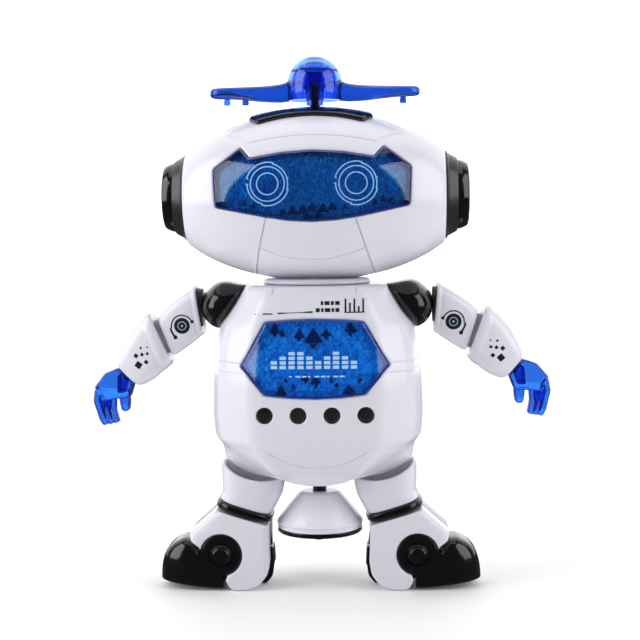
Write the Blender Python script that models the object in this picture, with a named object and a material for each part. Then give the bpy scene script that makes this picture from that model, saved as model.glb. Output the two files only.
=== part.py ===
"""Dancing toy robot, modelled as separate solids.

Frame: +Z up, the robot faces -Y, its own left side is +X, the floor is z = 0.
Every driving dimension below is in millimetres.  Geometry is built in
millimetres and turned into metres when an object is finished.
"""
import math

import bmesh
import bpy
from mathutils import Matrix, Vector

MM = 0.001
GAP = 0.3                                # clearance between neighbouring pieces

# Head: an ellipsoid with flat ends where the ears sit
HEAD_AXES = (64.0, 42.0, 35.0)
HEAD_Z = 163.5
HEAD_WALL = 2.4
HEAD_END_X = 53.0
EAR_HOLE_R = 13.6
VISOR_OUTLINE = [(-24.6, 177.8), (-28.3, 182.4), (-39.2, 174.4), (-38.4, 159.4), (-18.2, 155.4),
                 (0.0, 153.4), (18.2, 155.4), (38.4, 159.4), (39.2, 174.4), (28.3, 182.4),
                 (24.6, 177.8), (0.0, 180.9)]
CREST_OUTLINE = [(-25.5, -11.0), (-21.5, -17.5), (0.0, -20.0), (21.5, -17.5), (25.5, -11.0),
                 (25.5, 11.0), (21.5, 17.5), (0.0, 20.0), (-21.5, 17.5), (-25.5, 11.0)]
CREST_RISE = 1.1                         # height of the crest plate over the head surface
NECK_R = 22.5
NECK_POST_R = 8.0

# Rotor
ROTOR_TIP_R = 43.5
HUB_R = 11.35
HUB_WALL = 1.8
HUB_DOME_Z = 209.65
HUB_BOTTOM_Z = 202.7
BLADE_PITCH = math.radians(5.0)
BLADE_PEGS = {1: (36.2,), -1: (28.8, 36.2)}
SHAFT_R = 1.75

# Torso sections: z, half width of the flat front panel, its depth, facet corner half width,
# its depth, half width of the body
TORSO_SECTIONS = [
    (42.0, 9.0, 13.0, 11.0, 9.0, 12.5),
    (45.6, 11.0, 17.5, 13.0, 10.0, 14.0),
    (46.2, 12.0, 19.0, 20.0, 9.0, 25.5),
    (48.4, 14.0, 22.5, 22.0, 10.0, 33.0),
    (51.0, 17.0, 26.0, 24.5, 11.5, 37.0),
    (55.0, 19.6, 29.5, 29.0, 14.0, 38.8),
    (61.0, 23.0, 33.0, 35.0, 19.0, 39.8),
    (65.5, 25.0, 35.0, 38.5, 21.5, 42.4),
    (75.0, 26.0, 36.4, 39.5, 22.5, 43.2),
    (86.0, 26.5, 36.5, 39.3, 23.0, 42.9),
    (98.0, 26.0, 35.6, 38.5, 23.0, 42.2),
    (110.0, 25.0, 33.6, 36.0, 22.0, 40.4),
    (120.0, 22.0, 30.6, 30.5, 19.0, 35.6),
    (127.3, 18.0, 26.5, 25.5, 17.0, 31.0),
]
TORSO_WALL = 2.2
TORSO_FLOOR_Z = 49.6
TORSO_TOP_Z = TORSO_SECTIONS[-1][0]
CHEST_OUTLINE = [(-29.6, 95.9), (-20.0, 84.9), (0.0, 83.4), (20.0, 84.9), (29.6, 95.9),
                 (19.6, 113.5), (0.0, 114.6), (-19.6, 113.5)]
PORT_XS = (-20.1, -6.7, 6.7, 20.1)
PORT_Z = 76.5
PORT_R = 3.1
DOOR_HALF = 26.0
DOOR_Z = (64.0, 108.0)
CELL_R = 7.1
CELL_LENGTH = 50.0
CELL_ZS = (71.4, 86.0, 100.6)
CELL_Y = 20.6
SWITCH_Z = 116.0
SWITCH_X = -3.0                          # rest position, off; it travels 6 mm to the other end

# Arms, for the robot's left side; the other arm hangs slightly lower
SHOULDER_CENTRE = (37.8, 0.0, 119.0)
SHOULDER_AXES = (9.9, 15.0, 10.0)
ARM_AXIS_Z = 118.2
ARM_PIVOT = (42.0, ARM_AXIS_Z)
ARM_DROOP = {1: 0.0, -1: math.radians(-3.3)}
ELBOW_CENTRE = (64.9, 107.1)
ELBOW_TILT = math.radians(-20.5)
WRIST_CENTRE = (81.9, 92.1)
WRIST_TILT = math.radians(-42.0)
FINGER_SLOTS_Y = (-1.9, 1.9)
HAND_OUTLINE = [(85.2, 95.2), (89.9, 93.5), (94.4, 90.4), (95.6, 87.4), (94.9, 86.0), (96.4, 82.8),
                (96.3, 79.8), (94.9, 75.2), (92.6, 71.5), (89.6, 71.6), (87.8, 73.8), (88.1, 81.2),
                (86.2, 82.2), (85.2, 78.0), (83.6, 76.7), (81.9, 77.9), (81.2, 82.4), (78.9, 85.0),
                (78.5, 88.2)]

# Legs, for the robot's left side
HIP_CENTRE = (22.0, 70.0)
HIP_BULGE_R = 24.2
HIP_PIN_R = 2.0
KNEE_CENTRE = (31.35, 32.7)
KNEE_TILT = math.radians(17.0)
KNEE_HALF = (12.2, 13.4)
KNEE_THICK = 3.5
ANKLE_PEG_R = 3.0
BOSS_CENTRE = (40.9, 15.1)
BOOT_CUT_R = 9.0
BOOT_HALF_DEPTH = 14.0
CORE_HALF = 1.0
BOOT_OUTER = [(20.9, 27.0), (43.0, 33.7), (54.1, 23.9), (53.2, 20.9), (49.7, 18.2)]
BOOT_HEEL = [(39.0, 4.4), (37.4, 1.3), (35.4, 0.2), (30.1, 0.2), (25.2, 2.2), (21.6, 6.7),
             (20.7, 11.9), (21.6, 16.5)]
CORE_OUTLINE = [(21.6, 26.4), (42.6, 32.7), (52.4, 23.4), (48.0, 15.0), (38.2, 0.0), (30.0, 0.0),
                (24.7, 1.3), (20.7, 6.3), (19.8, 11.9), (20.7, 17.0)]
TOE_OUTLINE = [(38.2, 0.0), (62.0, 0.0), (66.0, 2.0), (67.4, 5.4), (66.6, 11.6), (64.4, 17.0),
               (60.4, 20.6), (54.9, 22.4), (53.7, 20.4), (50.0, 17.4), (40.9, 15.1), (39.5, 4.0)]
TOE_PLAN = [(36.0, -12.4), (46.0, -14.0), (56.0, -13.4), (62.5, -10.6), (66.4, -5.6), (67.5, 0.0),
            (66.4, 5.6), (62.5, 10.6), (56.0, 13.4), (46.0, 14.0), (36.0, 12.4)]

# Drive base under the belly
CONE_TOP_Z = 39.8
CONE_R = 18.1
CONE_LIP_Z = 24.4
BASE_BOTTOM_Z = 23.1
DRIVE_SHAFT_R = 2.85
WHEEL_R = 4.6
WHEEL_X = 10.0
AXLE_Z = 26.6

WHITE = ((0.86, 0.87, 0.92), 0.18, 0.0)
BLACK = ((0.015, 0.015, 0.018), 0.15, 0.0)
BLUE = ((0.01, 0.08, 0.75), 0.08, 0.0)
MIRROR_BLUE = ((0.02, 0.12, 0.6), 0.25, 0.6)
DARK_GREY = ((0.07, 0.07, 0.08), 0.5, 0.0)
BOARD_GREEN = ((0.02, 0.18, 0.06), 0.45, 0.0)
STEEL = ((0.6, 0.6, 0.62), 0.3, 1.0)
CELL_GOLD = ((0.75, 0.5, 0.12), 0.3, 0.6)
RUBBER = ((0.03, 0.03, 0.03), 0.8, 0.0)


def clear_scene():
    for item in list(bpy.data.objects):
        bpy.data.objects.remove(item, do_unlink=True)


def material(name, look):
    color, roughness, metallic = look
    result = bpy.data.materials.new(name)
    result.use_nodes = True
    shader = result.node_tree.nodes["Principled BSDF"]
    shader.inputs["Base Color"].default_value = (*color, 1.0)
    shader.inputs["Roughness"].default_value = roughness
    shader.inputs["Metallic"].default_value = metallic
    return result


def solid(name, vertices, faces):
    """One object from vertices in millimetres, with its faces turned outwards."""
    mesh = bpy.data.meshes.new(name)
    mesh.from_pydata([tuple(v) for v in vertices], [], faces)
    shape = bmesh.new()
    shape.from_mesh(mesh)
    bmesh.ops.recalc_face_normals(shape, faces=shape.faces)
    shape.to_mesh(mesh)
    shape.free()
    result = bpy.data.objects.new(name, mesh)
    bpy.context.collection.objects.link(result)
    return result


def loft(name, rings):
    """A closed solid through rings that all have the same number of points."""
    count = len(rings[0])
    vertices = [point for ring in rings for point in ring]
    faces = []
    for level in range(len(rings) - 1):
        low, high = level * count, (level + 1) * count
        for i in range(count):
            j = (i + 1) % count
            faces.append((low + i, low + j, high + j, high + i))
    faces.append(tuple(range(count - 1, -1, -1)))
    faces.append(tuple(range(len(vertices) - count, len(vertices))))
    return solid(name, vertices, faces)


def turned(name, profile, segments, place=Matrix.Identity(4)):
    """Turn a profile of (radius, height) points about local Z.

    The profile either starts and ends on the axis, or is a closed loop clear of it.
    """
    vertices, rows = [], []
    for radius, height in profile:
        if radius == 0.0:
            rows.append([len(vertices)] * segments)
            vertices.append(place @ Vector((0.0, 0.0, height)))
            continue
        rows.append([len(vertices) + i for i in range(segments)])
        for i in range(segments):
            angle = 2.0 * math.pi * (i + 0.5) / segments
            vertices.append(place @ Vector((radius * math.cos(angle), radius * math.sin(angle), height)))
    if profile[0][0] > 0.0:
        rows.append(rows[0])
    faces = []
    for low, high in zip(rows, rows[1:]):
        for i in range(segments):
            j = (i + 1) % segments
            corners = list(dict.fromkeys((low[i], low[j], high[j], high[i])))
            if len(corners) > 2:
                faces.append(tuple(corners))
    return solid(name, vertices, faces)


def along(axis, centre=(0.0, 0.0, 0.0)):
    """Matrix that takes local +Z to the given world direction at a centre."""
    turn = Vector((0.0, 0.0, 1.0)).rotation_difference(Vector(axis))
    return Matrix.Translation(Vector(centre)) @ turn.to_matrix().to_4x4()


def cylinder(name, radius, start, end, segments=24):
    start, end = Vector(start), Vector(end)
    length = (end - start).length
    profile = [(0.0, 0.0), (radius, 0.0), (radius, length), (0.0, length)]
    return turned(name, profile, segments, along((end - start).normalized(), start))


def block(name, low, high):
    xs, ys, zs = zip(low, high)
    outline = [(xs[0], ys[0]), (xs[1], ys[0]), (xs[1], ys[1]), (xs[0], ys[1])]
    return loft(name, [[(x, y, z) for x, y in outline] for z in zs])


def inset(outline, distance):
    """Move every side of a closed outline inwards by a distance."""
    count = len(outline)
    area = sum(outline[i][0] * outline[(i + 1) % count][1] - outline[(i + 1) % count][0] * outline[i][1]
               for i in range(count))
    sign = 1.0 if area > 0.0 else -1.0
    result = []
    for i, point in enumerate(outline):
        before, here, after = Vector(outline[i - 1]), Vector(point), Vector(outline[(i + 1) % count])
        side_in, side_out = (here - before).normalized(), (after - here).normalized()
        normal_in = Vector((-side_in.y, side_in.x)) * sign
        normal_out = Vector((-side_out.y, side_out.x)) * sign
        middle = (normal_in + normal_out).normalized()
        reach = distance / max(middle.dot(normal_in), 0.45)
        result.append(tuple(here + middle * reach))
    return result


def prism(name, outline, low, high, axis="Y", edge=0.0):
    """Extrude an outline of (x, z) along Y, or of (x, y) along Z, with optional bevelled ends."""
    steps = [(low, 0.0), (high, 0.0)]
    if edge:
        steps = [(low, edge), (low + edge, 0.0), (high - edge, 0.0), (high, edge)]
    rings = []
    for level, shrink in steps:
        flat = inset(outline, shrink) if shrink else outline
        if axis == "Y":
            rings.append([(u, level, v) for u, v in flat])
        else:
            rings.append([(u, v, level) for u, v in flat])
    return loft(name, rings)


def combine(target, tool, operation):
    """Apply one exact Boolean and remove the tool."""
    modifier = target.modifiers.new("combine", "BOOLEAN")
    modifier.operation = operation
    modifier.object = tool
    bpy.context.view_layer.update()
    result = bpy.data.meshes.new_from_object(target.evaluated_get(bpy.context.evaluated_depsgraph_get()))
    target.modifiers.clear()
    target.data = result
    bpy.data.objects.remove(tool, do_unlink=True)
    return target


def cut(target, *tools):
    for tool in tools:
        combine(target, tool, "DIFFERENCE")
    return target


def join(target, *tools):
    for tool in tools:
        combine(target, tool, "UNION")
    return target


def keep(target, tool):
    return combine(target, tool, "INTERSECT")


def duplicate(source, name):
    result = bpy.data.objects.new(name, source.data.copy())
    bpy.context.collection.objects.link(result)
    return result


def mirrored(side, outline):
    return [(side * u, v) for u, v in outline]


def finish(item, look, smooth=35.0):
    """Scale to metres, shade, and give the object its own material."""
    mesh = item.data
    mesh.transform(Matrix.Scale(MM, 4))
    mesh.materials.clear()
    mesh.materials.append(material(item.name, look))
    mesh.shade_smooth()
    mesh.set_sharp_from_angle(angle=math.radians(smooth))
    return item


def pivot(name, place, children):
    """An empty on a joint's axis that carries the moving pieces."""
    empty = bpy.data.objects.new(name, None)
    empty.empty_display_size = 5.0 * MM
    empty.location = Vector(place) * MM
    bpy.context.collection.objects.link(empty)
    bpy.context.view_layer.update()
    for child in children:
        child.parent = empty
        child.matrix_parent_inverse = empty.matrix_world.inverted()
    return empty


def circle(centre, radius, start, end, count):
    """Points on an arc; the angles are in degrees."""
    angles = [math.radians(start + (end - start) * i / (count - 1)) for i in range(count)]
    return [(centre[0] + radius * math.cos(a), centre[1] + radius * math.sin(a)) for a in angles]


# ---------------------------------------------------------------- head

def head_solid(name, offset, end_x=None):
    """The head ellipsoid, its surface moved inwards by an offset, with flat ends."""
    long_axis, deep_axis, high_axis = (axis - offset for axis in HEAD_AXES)
    end = (HEAD_END_X if end_x is None else end_x) / long_axis
    end_angle = math.acos(end)
    steps = 10
    profile = [(0.0, -end)]
    for i in range(steps + 1):
        angle = math.pi - end_angle - (math.pi - 2.0 * end_angle) * i / steps
        profile.append((math.sin(angle), math.cos(angle)))
    profile.append((0.0, end))
    place = Matrix.Translation((0.0, 0.0, HEAD_Z)) @ Matrix.Diagonal((long_axis, deep_axis, high_axis, 1.0))
    place = place @ Matrix.Rotation(math.radians(90.0), 4, "Y")
    return turned(name, profile, 36, place)


def head_layer(name, outer, inner, outline, low, high, axis="Y"):
    """A piece of the head's skin between two offsets, cut out along an outline."""
    piece = head_solid(name, outer)
    cut(piece, head_solid("tool", inner))
    return keep(piece, prism("tool", outline, low, high, axis))


def build_head():
    shell = head_solid("head", 0.0)
    cut(shell, head_solid("tool", HEAD_WALL, HEAD_END_X - HEAD_WALL))
    cut(shell, cylinder("tool", EAR_HOLE_R, (-70, 0, HEAD_Z), (70, 0, HEAD_Z), 32))
    cut(shell, prism("tool", inset(CREST_OUTLINE, -GAP), HEAD_Z, HEAD_Z + 50, "Z"))
    cut(shell, cylinder("tool", NECK_POST_R + 4.0 + GAP, (0, 0, 120), (0, 0, 140), 32))
    front = duplicate(shell, "head_front_shell")
    cut(front, block("tool", (-80, -GAP / 2, 100), (80, 80, 240)))
    cut(front, prism("tool", inset(VISOR_OUTLINE, -GAP), -60, -15))
    rear = duplicate(shell, "head_rear_shell")
    cut(rear, block("tool", (-80, -80, 100), (80, GAP / 2, 240)))
    bpy.data.objects.remove(shell, do_unlink=True)

    visor = head_layer("visor", 0.2, 2.2, VISOR_OUTLINE, -60, -15)
    reflector = head_layer("face_reflector", 2.9, 4.5, inset(VISOR_OUTLINE, -1.6), -60, -15)
    crest = head_layer("crest_plate", -CREST_RISE, 1.6, CREST_OUTLINE, HEAD_Z, HEAD_Z + 50, "Z")
    cut(crest, cylinder("tool", SHAFT_R + GAP, (0, 0, 180), (0, 0, 210)))

    board = block("face_led_board", (-28, -24.0, 156), (28, -22.4, 176))
    for x in (-17.2, 0.0, 17.2):
        join(board, cylinder("tool", 2.5, (x, -22.8, 166), (x, -29.0, 166), 12))
    cut(board, cylinder("tool", 1.5, (-24, -26, 159), (-24, -20, 159), 12))

    collar = turned("neck_collar", [
        (3.5, 116.5), (NECK_POST_R + 2.5, 116.5), (NECK_POST_R + 2.5, 118.6), (NECK_POST_R, 118.6),
        (NECK_POST_R, TORSO_TOP_Z + GAP), (NECK_R - 0.6, TORSO_TOP_Z + GAP), (NECK_R, TORSO_TOP_Z + 0.8),
        (NECK_R, 128.9), (12.0, 127.9 + GAP), (NECK_POST_R + 4.0, 128.2), (NECK_POST_R + 4.0, 134.0),
        (3.5, 134.0)], 20)
    pieces = [finish(front, WHITE), finish(rear, WHITE), finish(visor, BLUE),
              finish(reflector, MIRROR_BLUE), finish(crest, BLACK),
              finish(board, BOARD_GREEN), finish(collar, WHITE)]
    for side, word in ((1, "left"), (-1, "right")):
        place = along((side, 0, 0), (0, 0, HEAD_Z))
        end = HEAD_END_X + GAP
        ring = turned(word + "_ear_ring", [
            (11.2, 50.0), (13.2, 50.0), (13.2, end), (18.1, end), (18.1, end + 1.3), (16.4, end + 1.7),
            (16.4, 57.6), (15.8, 58.2), (11.2, 58.2)], 24, place)
        cap = turned(word + "_ear_cap", [
            (0.0, 54.0), (10.9, 54.0), (10.9, 58.5), (14.8, 58.5), (14.5, 61.0), (12.6, 62.8), (0.0, 63.3)],
            24, place)
        pieces += [finish(ring, BLACK), finish(cap, BLACK)]
    pivot("head_pivot", (0, 0, TORSO_TOP_Z), pieces)


def blade(name, side):
    """One propeller blade, thicker at the root, with a rounded tip."""
    stations = [(9.0, 4.6, 202.0, 212.5), (14.0, 5.4, 202.4, 210.2), (20.0, 6.0, 203.6, 208.9),
                (27.0, 6.4, 204.6, 208.0), (35.0, 6.5, 204.8, 207.9), (39.5, 5.8, 204.8, 207.9),
                (42.0, 4.2, 204.9, 207.8), (ROTOR_TIP_R, 1.6, 205.2, 207.5)]
    rings = []
    for radius, half, low, high in stations:
        middle, thick = (low + high) / 2.0, (high - low) / 2.0
        ring = []
        for i in range(10):
            angle = 2.0 * math.pi * i / 10
            chord = half * math.copysign(abs(math.cos(angle)) ** 0.6, math.cos(angle))
            rise = thick * math.copysign(abs(math.sin(angle)) ** 0.6, math.sin(angle))
            y = chord * math.cos(BLADE_PITCH) - rise * math.sin(BLADE_PITCH)
            z = chord * math.sin(BLADE_PITCH) + rise * math.cos(BLADE_PITCH)
            ring.append((side * radius, side * y, middle + z))
        rings.append(ring)
    return loft(name, rings)


def build_rotor():
    hub = [(0.0, 213.0), (SHAFT_R + GAP, 213.0), (SHAFT_R + GAP, HUB_BOTTOM_Z)]
    hub += [(4.0, HUB_BOTTOM_Z), (4.0, 216.8)]
    hub += [(radius * math.cos(math.radians(a)), HUB_DOME_Z + radius * math.sin(math.radians(a)))
            for radius, a in ((HUB_R - HUB_WALL, 48), (HUB_R - HUB_WALL, 24), (HUB_R - HUB_WALL, 0))]
    hub += [(HUB_R - HUB_WALL, HUB_BOTTOM_Z), (HUB_R - 0.4, HUB_BOTTOM_Z), (HUB_R, HUB_BOTTOM_Z + 1.0)]
    hub += [(HUB_R * math.cos(math.radians(a)), HUB_DOME_Z + HUB_R * math.sin(math.radians(a)))
            for a in range(0, 90, 18)]
    hub.append((0.0, HUB_DOME_Z + HUB_R))
    propeller = turned("propeller", hub, 24)
    for side in (1, -1):
        join(propeller, blade("tool", side))
        for radius in BLADE_PEGS[side]:
            x = side * radius
            join(propeller, cylinder("tool", 1.4, (x, 0, 201.4), (x, 0, 206.2), 8))
    shaft = turned("rotor_shaft", [
        (0.0, 192.0), (3.4, 192.0), (3.4, 194.0), (SHAFT_R, 194.0), (SHAFT_R, 212.5), (0.0, 212.5)], 16)
    pivot("rotor_pivot", (0, 0, HUB_BOTTOM_Z), [finish(propeller, BLUE), finish(shaft, DARK_GREY)])


# ---------------------------------------------------------------- torso

def torso_values(z):
    """Section values at a height, interpolated between the driving sections."""
    for low, high in zip(TORSO_SECTIONS, TORSO_SECTIONS[1:]):
        if z <= high[0]:
            share = max(0.0, (z - low[0]) / (high[0] - low[0]))
            return [a + (b - a) * share for a, b in zip(low[1:], high[1:])]
    return list(TORSO_SECTIONS[-1][1:])


def torso_ring(z, offset, height):
    """One closed section: flat front, slanted facets, flat sides, rounded corners."""
    panel, front, corner, corner_depth, width = torso_values(z)
    front, width = front - offset, width - offset
    corner, corner_depth = corner - 0.8 * offset, corner_depth - 0.6 * offset
    panel = panel - 0.3 * offset
    side_depth = 0.45 * corner_depth
    nodes = [(0.0, -front), (panel, -front), (corner, -corner_depth), (width, -side_depth), (width, 0.0)]
    quarter = [nodes[0]]
    for before, here, after in zip(nodes, nodes[1:], nodes[2:]):
        start = Vector(here).lerp(Vector(before), 0.4)
        end = Vector(here).lerp(Vector(after), 0.4)
        for t in (0.15, 0.85):
            point = start * (1 - t) ** 2 + Vector(here) * 2 * t * (1 - t) + end * t ** 2
            quarter.append(tuple(point))
    quarter.append(nodes[-1])
    right = quarter[:-1] + [(x, -y) for x, y in reversed(quarter)]
    left = [(-x, y) for x, y in reversed(right[1:-1])]
    return [(x, y, height) for x, y in right + left]


def torso_solid(name, offset, low=None):
    levels = [section[0] for section in TORSO_SECTIONS]
    if low is not None:
        levels = [low] + [z for z in levels if z > low + 1.0]
    top = TORSO_TOP_Z - offset
    levels = [z for z in levels[:-1] if z < top - 2.0] + [top]
    return loft(name, [torso_ring(z, offset, z) for z in levels])


def torso_layer(name, outer, inner, outline):
    piece = torso_solid(name, outer, TORSO_FLOOR_Z)
    cut(piece, torso_solid("tool", inner, TORSO_FLOOR_Z - 5.0))
    return keep(piece, prism("tool", outline, -60, -20))


def shoulder_solid(name, grow):
    """Shoulder dome: an ellipsoid with a flattened outer nose."""
    profile = [(0.0, -1.0)]
    profile += [(math.cos(math.radians(a)), math.sin(math.radians(a))) for a in range(-72, 73, 18)]
    profile.append((0.0, 1.0))
    axes = [axis + grow for axis in SHOULDER_AXES]
    place = Matrix.Translation(SHOULDER_CENTRE) @ Matrix.Diagonal((*axes, 1.0))
    return turned(name, profile, 18, place @ Matrix.Rotation(math.radians(90.0), 4, "Y"))


def flip_x(item):
    """Mirror a finished solid to the other side."""
    item.data.transform(Matrix.Scale(-1.0, 4, (1.0, 0.0, 0.0)))
    item.data.flip_normals()
    return item


def build_shoulder(side, word):
    shoulder = shoulder_solid(word + "_shoulder", 0.0)
    cut(shoulder, block("tool", (47.5, -20, 100), (60, 20, 140)))
    cut(shoulder, cylinder("tool", 2.6 + GAP, (20, 0, ARM_AXIS_Z), (60, 0, ARM_AXIS_Z), 20))
    return flip_x(shoulder) if side < 0 else shoulder


def hip_slot(side):
    """The opening that the leg bracket swings through."""
    points = circle((0.0, 0.0), 26.0, -74.0, -130.0, 8) + circle((0.0, 0.0), 12.0, -130.0, -74.0, 5)
    outline = [(HIP_CENTRE[0] - u, HIP_CENTRE[1] + v) for u, v in points]
    return prism("tool", mirrored(side, outline), -4.9, 4.9)


def build_torso():
    shell = torso_solid("torso", 0.0)
    cut(shell, torso_solid("tool", TORSO_WALL, TORSO_FLOOR_Z))
    cut(shell, cylinder("tool", NECK_POST_R + GAP, (0, 0, 120), (0, 0, 130), 32))
    cut(shell, cylinder("tool", DRIVE_SHAFT_R + GAP, (0, 0, 38), (0, 0, 52), 24))
    for side in (1, -1):
        pocket = shoulder_solid("tool", GAP)
        cut(shell, flip_x(pocket) if side < 0 else pocket)
        around_hip = block("tool", (13.5, -15.5, 38), (46, 15.5, 55))
        cut(around_hip, cylinder("tool", HIP_BULGE_R, (HIP_CENTRE[0], -30, HIP_CENTRE[1]),
                                 (HIP_CENTRE[0], 30, HIP_CENTRE[1]), 40))
        cut(shell, flip_x(around_hip) if side < 0 else around_hip)
        cut(shell, hip_slot(side))
    low, high = DOOR_Z
    door_outline = [(-DOOR_HALF, low), (DOOR_HALF, low), (DOOR_HALF, high), (-DOOR_HALF, high)]
    front = duplicate(shell, "torso_front_shell")
    cut(front, block("tool", (-60, -GAP / 2, 30), (60, 60, 140)))
    cut(front, prism("tool", inset(CHEST_OUTLINE, -GAP), -60, -20))
    for x in PORT_XS:
        cut(front, cylinder("tool", PORT_R + GAP, (x, -45, PORT_Z), (x, -28, PORT_Z), 20))
    rear = duplicate(shell, "torso_rear_shell")
    cut(rear, block("tool", (-60, -60, 30), (60, GAP / 2, 140)))
    cut(rear, prism("tool", door_outline, 20, 50))
    cut(rear, block("tool", (-6.5, 20, SWITCH_Z - 2.6), (6.5, 50, SWITCH_Z + 2.6)))
    bpy.data.objects.remove(shell, do_unlink=True)

    door = torso_solid("battery_door", 0.2, TORSO_FLOOR_Z)
    cut(door, torso_solid("tool", TORSO_WALL, TORSO_FLOOR_Z - 5.0))
    keep(door, prism("tool", inset(door_outline, GAP), 20, 60))
    cut(door, cylinder("tool", 1.3 + GAP, (0, 20, 105), (0, 60, 105), 16))
    cut(door, cylinder("tool", 2.6 + GAP, (0, 33.2, 105), (0, 60, 105), 16))
    screw = turned("door_screw", [
        (0.0, 32.3), (1.3, 32.3), (1.3, 33.6), (2.6, 33.6), (2.6, 34.3), (0.0, 34.3)],
        16, along((0, 1, 0), (0, 0, 105)))
    cut(screw, block("tool", (-0.35, 33.9, 103.2), (0.35, 36, 106.8)))

    window = torso_layer("chest_window", -0.2, 1.8, CHEST_OUTLINE)
    reflector = torso_layer("chest_reflector", 2.6, 4.2, inset(CHEST_OUTLINE, -1.4))
    ports = block("sound_ports", (-23.6, -31.4, 72.8), (23.6, -30.2, 80.2))
    for x in PORT_XS:
        join(ports, cylinder("tool", PORT_R, (x, -30.8, PORT_Z), (x, -36.0, PORT_Z), 16))

    switch = block("power_switch", (SWITCH_X - 2.2, 27.0, SWITCH_Z - 2.1),
                   (SWITCH_X + 2.2, 33.4, SWITCH_Z + 2.1))
    join(switch, block("tool", (SWITCH_X - 6.0, 26.0, SWITCH_Z - 4.0),
                       (SWITCH_X + 6.0, 27.6, SWITCH_Z + 4.0)))
    pieces = [finish(front, WHITE), finish(rear, WHITE), finish(window, BLUE),
              finish(reflector, MIRROR_BLUE), finish(ports, DARK_GREY)]
    for side, word in ((1, "left"), (-1, "right")):
        pieces.append(finish(build_shoulder(side, word), BLACK))
    pieces += build_torso_inside()
    pivot("torso_root", (0, 0, 0), pieces)
    pivot("battery_door_pivot", (0, 34, 86), [finish(door, WHITE), finish(screw, STEEL)])
    pivot("power_switch_pivot", (SWITCH_X, 30, SWITCH_Z), [finish(switch, BLACK)])


def build_torso_inside():
    """Boards, speaker, battery box with its cells, and the drive motor."""
    led_board = block("chest_led_board", (-18, -26.0, 92), (18, -24.4, 108))
    for x in (-12.0, 0.0, 12.0):
        join(led_board, cylinder("tool", 2.5, (x, -24.8, 100), (x, -29.5, 100), 12))
    main_board = block("main_board", (-17, -15.4, 62), (17, -13.8, 112))
    join(main_board, block("tool", (-6, -17.6, 90), (6, -15.0, 98)))
    join(main_board, cylinder("tool", 3.0, (10, -15.0, 104), (10, -21.0, 104), 12))
    speaker = turned("speaker", [(0.0, 0.0), (6.0, 0.0), (6.0, 4.0), (13.5, 7.0), (13.5, 8.6), (11.5, 8.6),
                                 (4.0, 6.0), (0.0, 6.6)], 28, along((0, -1, 0), (0, -21.4, PORT_Z)))
    box = block("battery_box", (-27.2, 12.0, 62.6), (27.2, 26.8, 109.2))
    cut(box, block("tool", (-25.7, 13.3, 63.9), (25.7, 40, 107.9)))
    pieces = [finish(led_board, BOARD_GREEN), finish(main_board, BOARD_GREEN), finish(speaker, DARK_GREY),
              finish(box, WHITE)]
    for index, z in enumerate(CELL_ZS):
        half = CELL_LENGTH / 2.0
        tip = 1 if index % 2 == 0 else -1
        profile = [(0.0, -half), (CELL_R - 0.6, -half), (CELL_R, 0.6 - half), (CELL_R, half - 2.0),
                   (CELL_R - 0.6, half - 1.4), (2.75, half - 1.4), (2.75, half), (0.0, half)]
        cell = turned("battery_%d" % (index + 1), profile, 20, along((tip, 0, 0), (0, CELL_Y, z)))
        pieces.append(finish(cell, CELL_GOLD))
    motor = block("drive_motor", (-11.5, -11.5, 50.2), (11.5, 11.5, 57.0))
    join(motor, cylinder("tool", 8.0, (0, 0, 56.0), (0, 0, 70.0), 24))
    cut(motor, cylinder("tool", DRIVE_SHAFT_R + GAP, (0, 0, 48), (0, 0, 54.3), 20))
    pieces.append(finish(motor, STEEL))
    for side, word in ((1, "left"), (-1, "right")):
        x = side * HIP_CENTRE[0]
        pin = cylinder(word + "_hip_pin", HIP_PIN_R, (x, -30.0, HIP_CENTRE[1]),
                       (x, 11.6, HIP_CENTRE[1]), 16)
        pieces.append(finish(pin, STEEL))
    return pieces


# ---------------------------------------------------------------- arms

def arm_point(side, point):
    """Place a point of the arm's outline, with that arm's droop and side."""
    offset = Vector(point) - Vector(ARM_PIVOT)
    turn = Matrix.Rotation(ARM_DROOP[side], 2)
    placed = turn @ offset + Vector(ARM_PIVOT)
    return side * placed.x, placed.y


def oval(upper, lower, half_depth, power=2.6, count=18):
    """A closed ring through an upper and a lower outline point, both (x, z)."""
    centre = (Vector(upper) + Vector(lower)) / 2.0
    half = (Vector(upper) - Vector(lower)) / 2.0
    ring = []
    for i in range(count):
        angle = 2.0 * math.pi * i / count
        rise = math.copysign(abs(math.cos(angle)) ** (2.0 / power), math.cos(angle))
        out = math.copysign(abs(math.sin(angle)) ** (2.0 / power), math.sin(angle))
        ring.append((centre.x + half.x * rise, half_depth * out, centre.y + half.y * rise))
    return ring


def arm_loft(name, side, stations, grow=0.0):
    rings = []
    for upper, lower, half_depth in stations:
        middle = (Vector(upper) + Vector(lower)) / 2.0
        reach = (Vector(upper) - middle).length
        scale = (reach + grow) / reach
        top = middle + (Vector(upper) - middle) * scale
        bottom = middle + (Vector(lower) - middle) * scale
        rings.append(oval(arm_point(side, top), arm_point(side, bottom), half_depth + grow))
    return loft(name, rings)


def arm_rod(name, side, radius, centre, tilt, start, end, segments=20):
    """A cylinder along a tilted axis of the arm, between two distances from a centre."""
    axis = Vector((math.cos(tilt), math.sin(tilt)))
    points = []
    for distance in (start, end):
        x, z = arm_point(side, Vector(centre) + axis * distance)
        points.append((x, 0.0, z))
    return cylinder(name, radius, points[0], points[1], segments)


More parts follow.
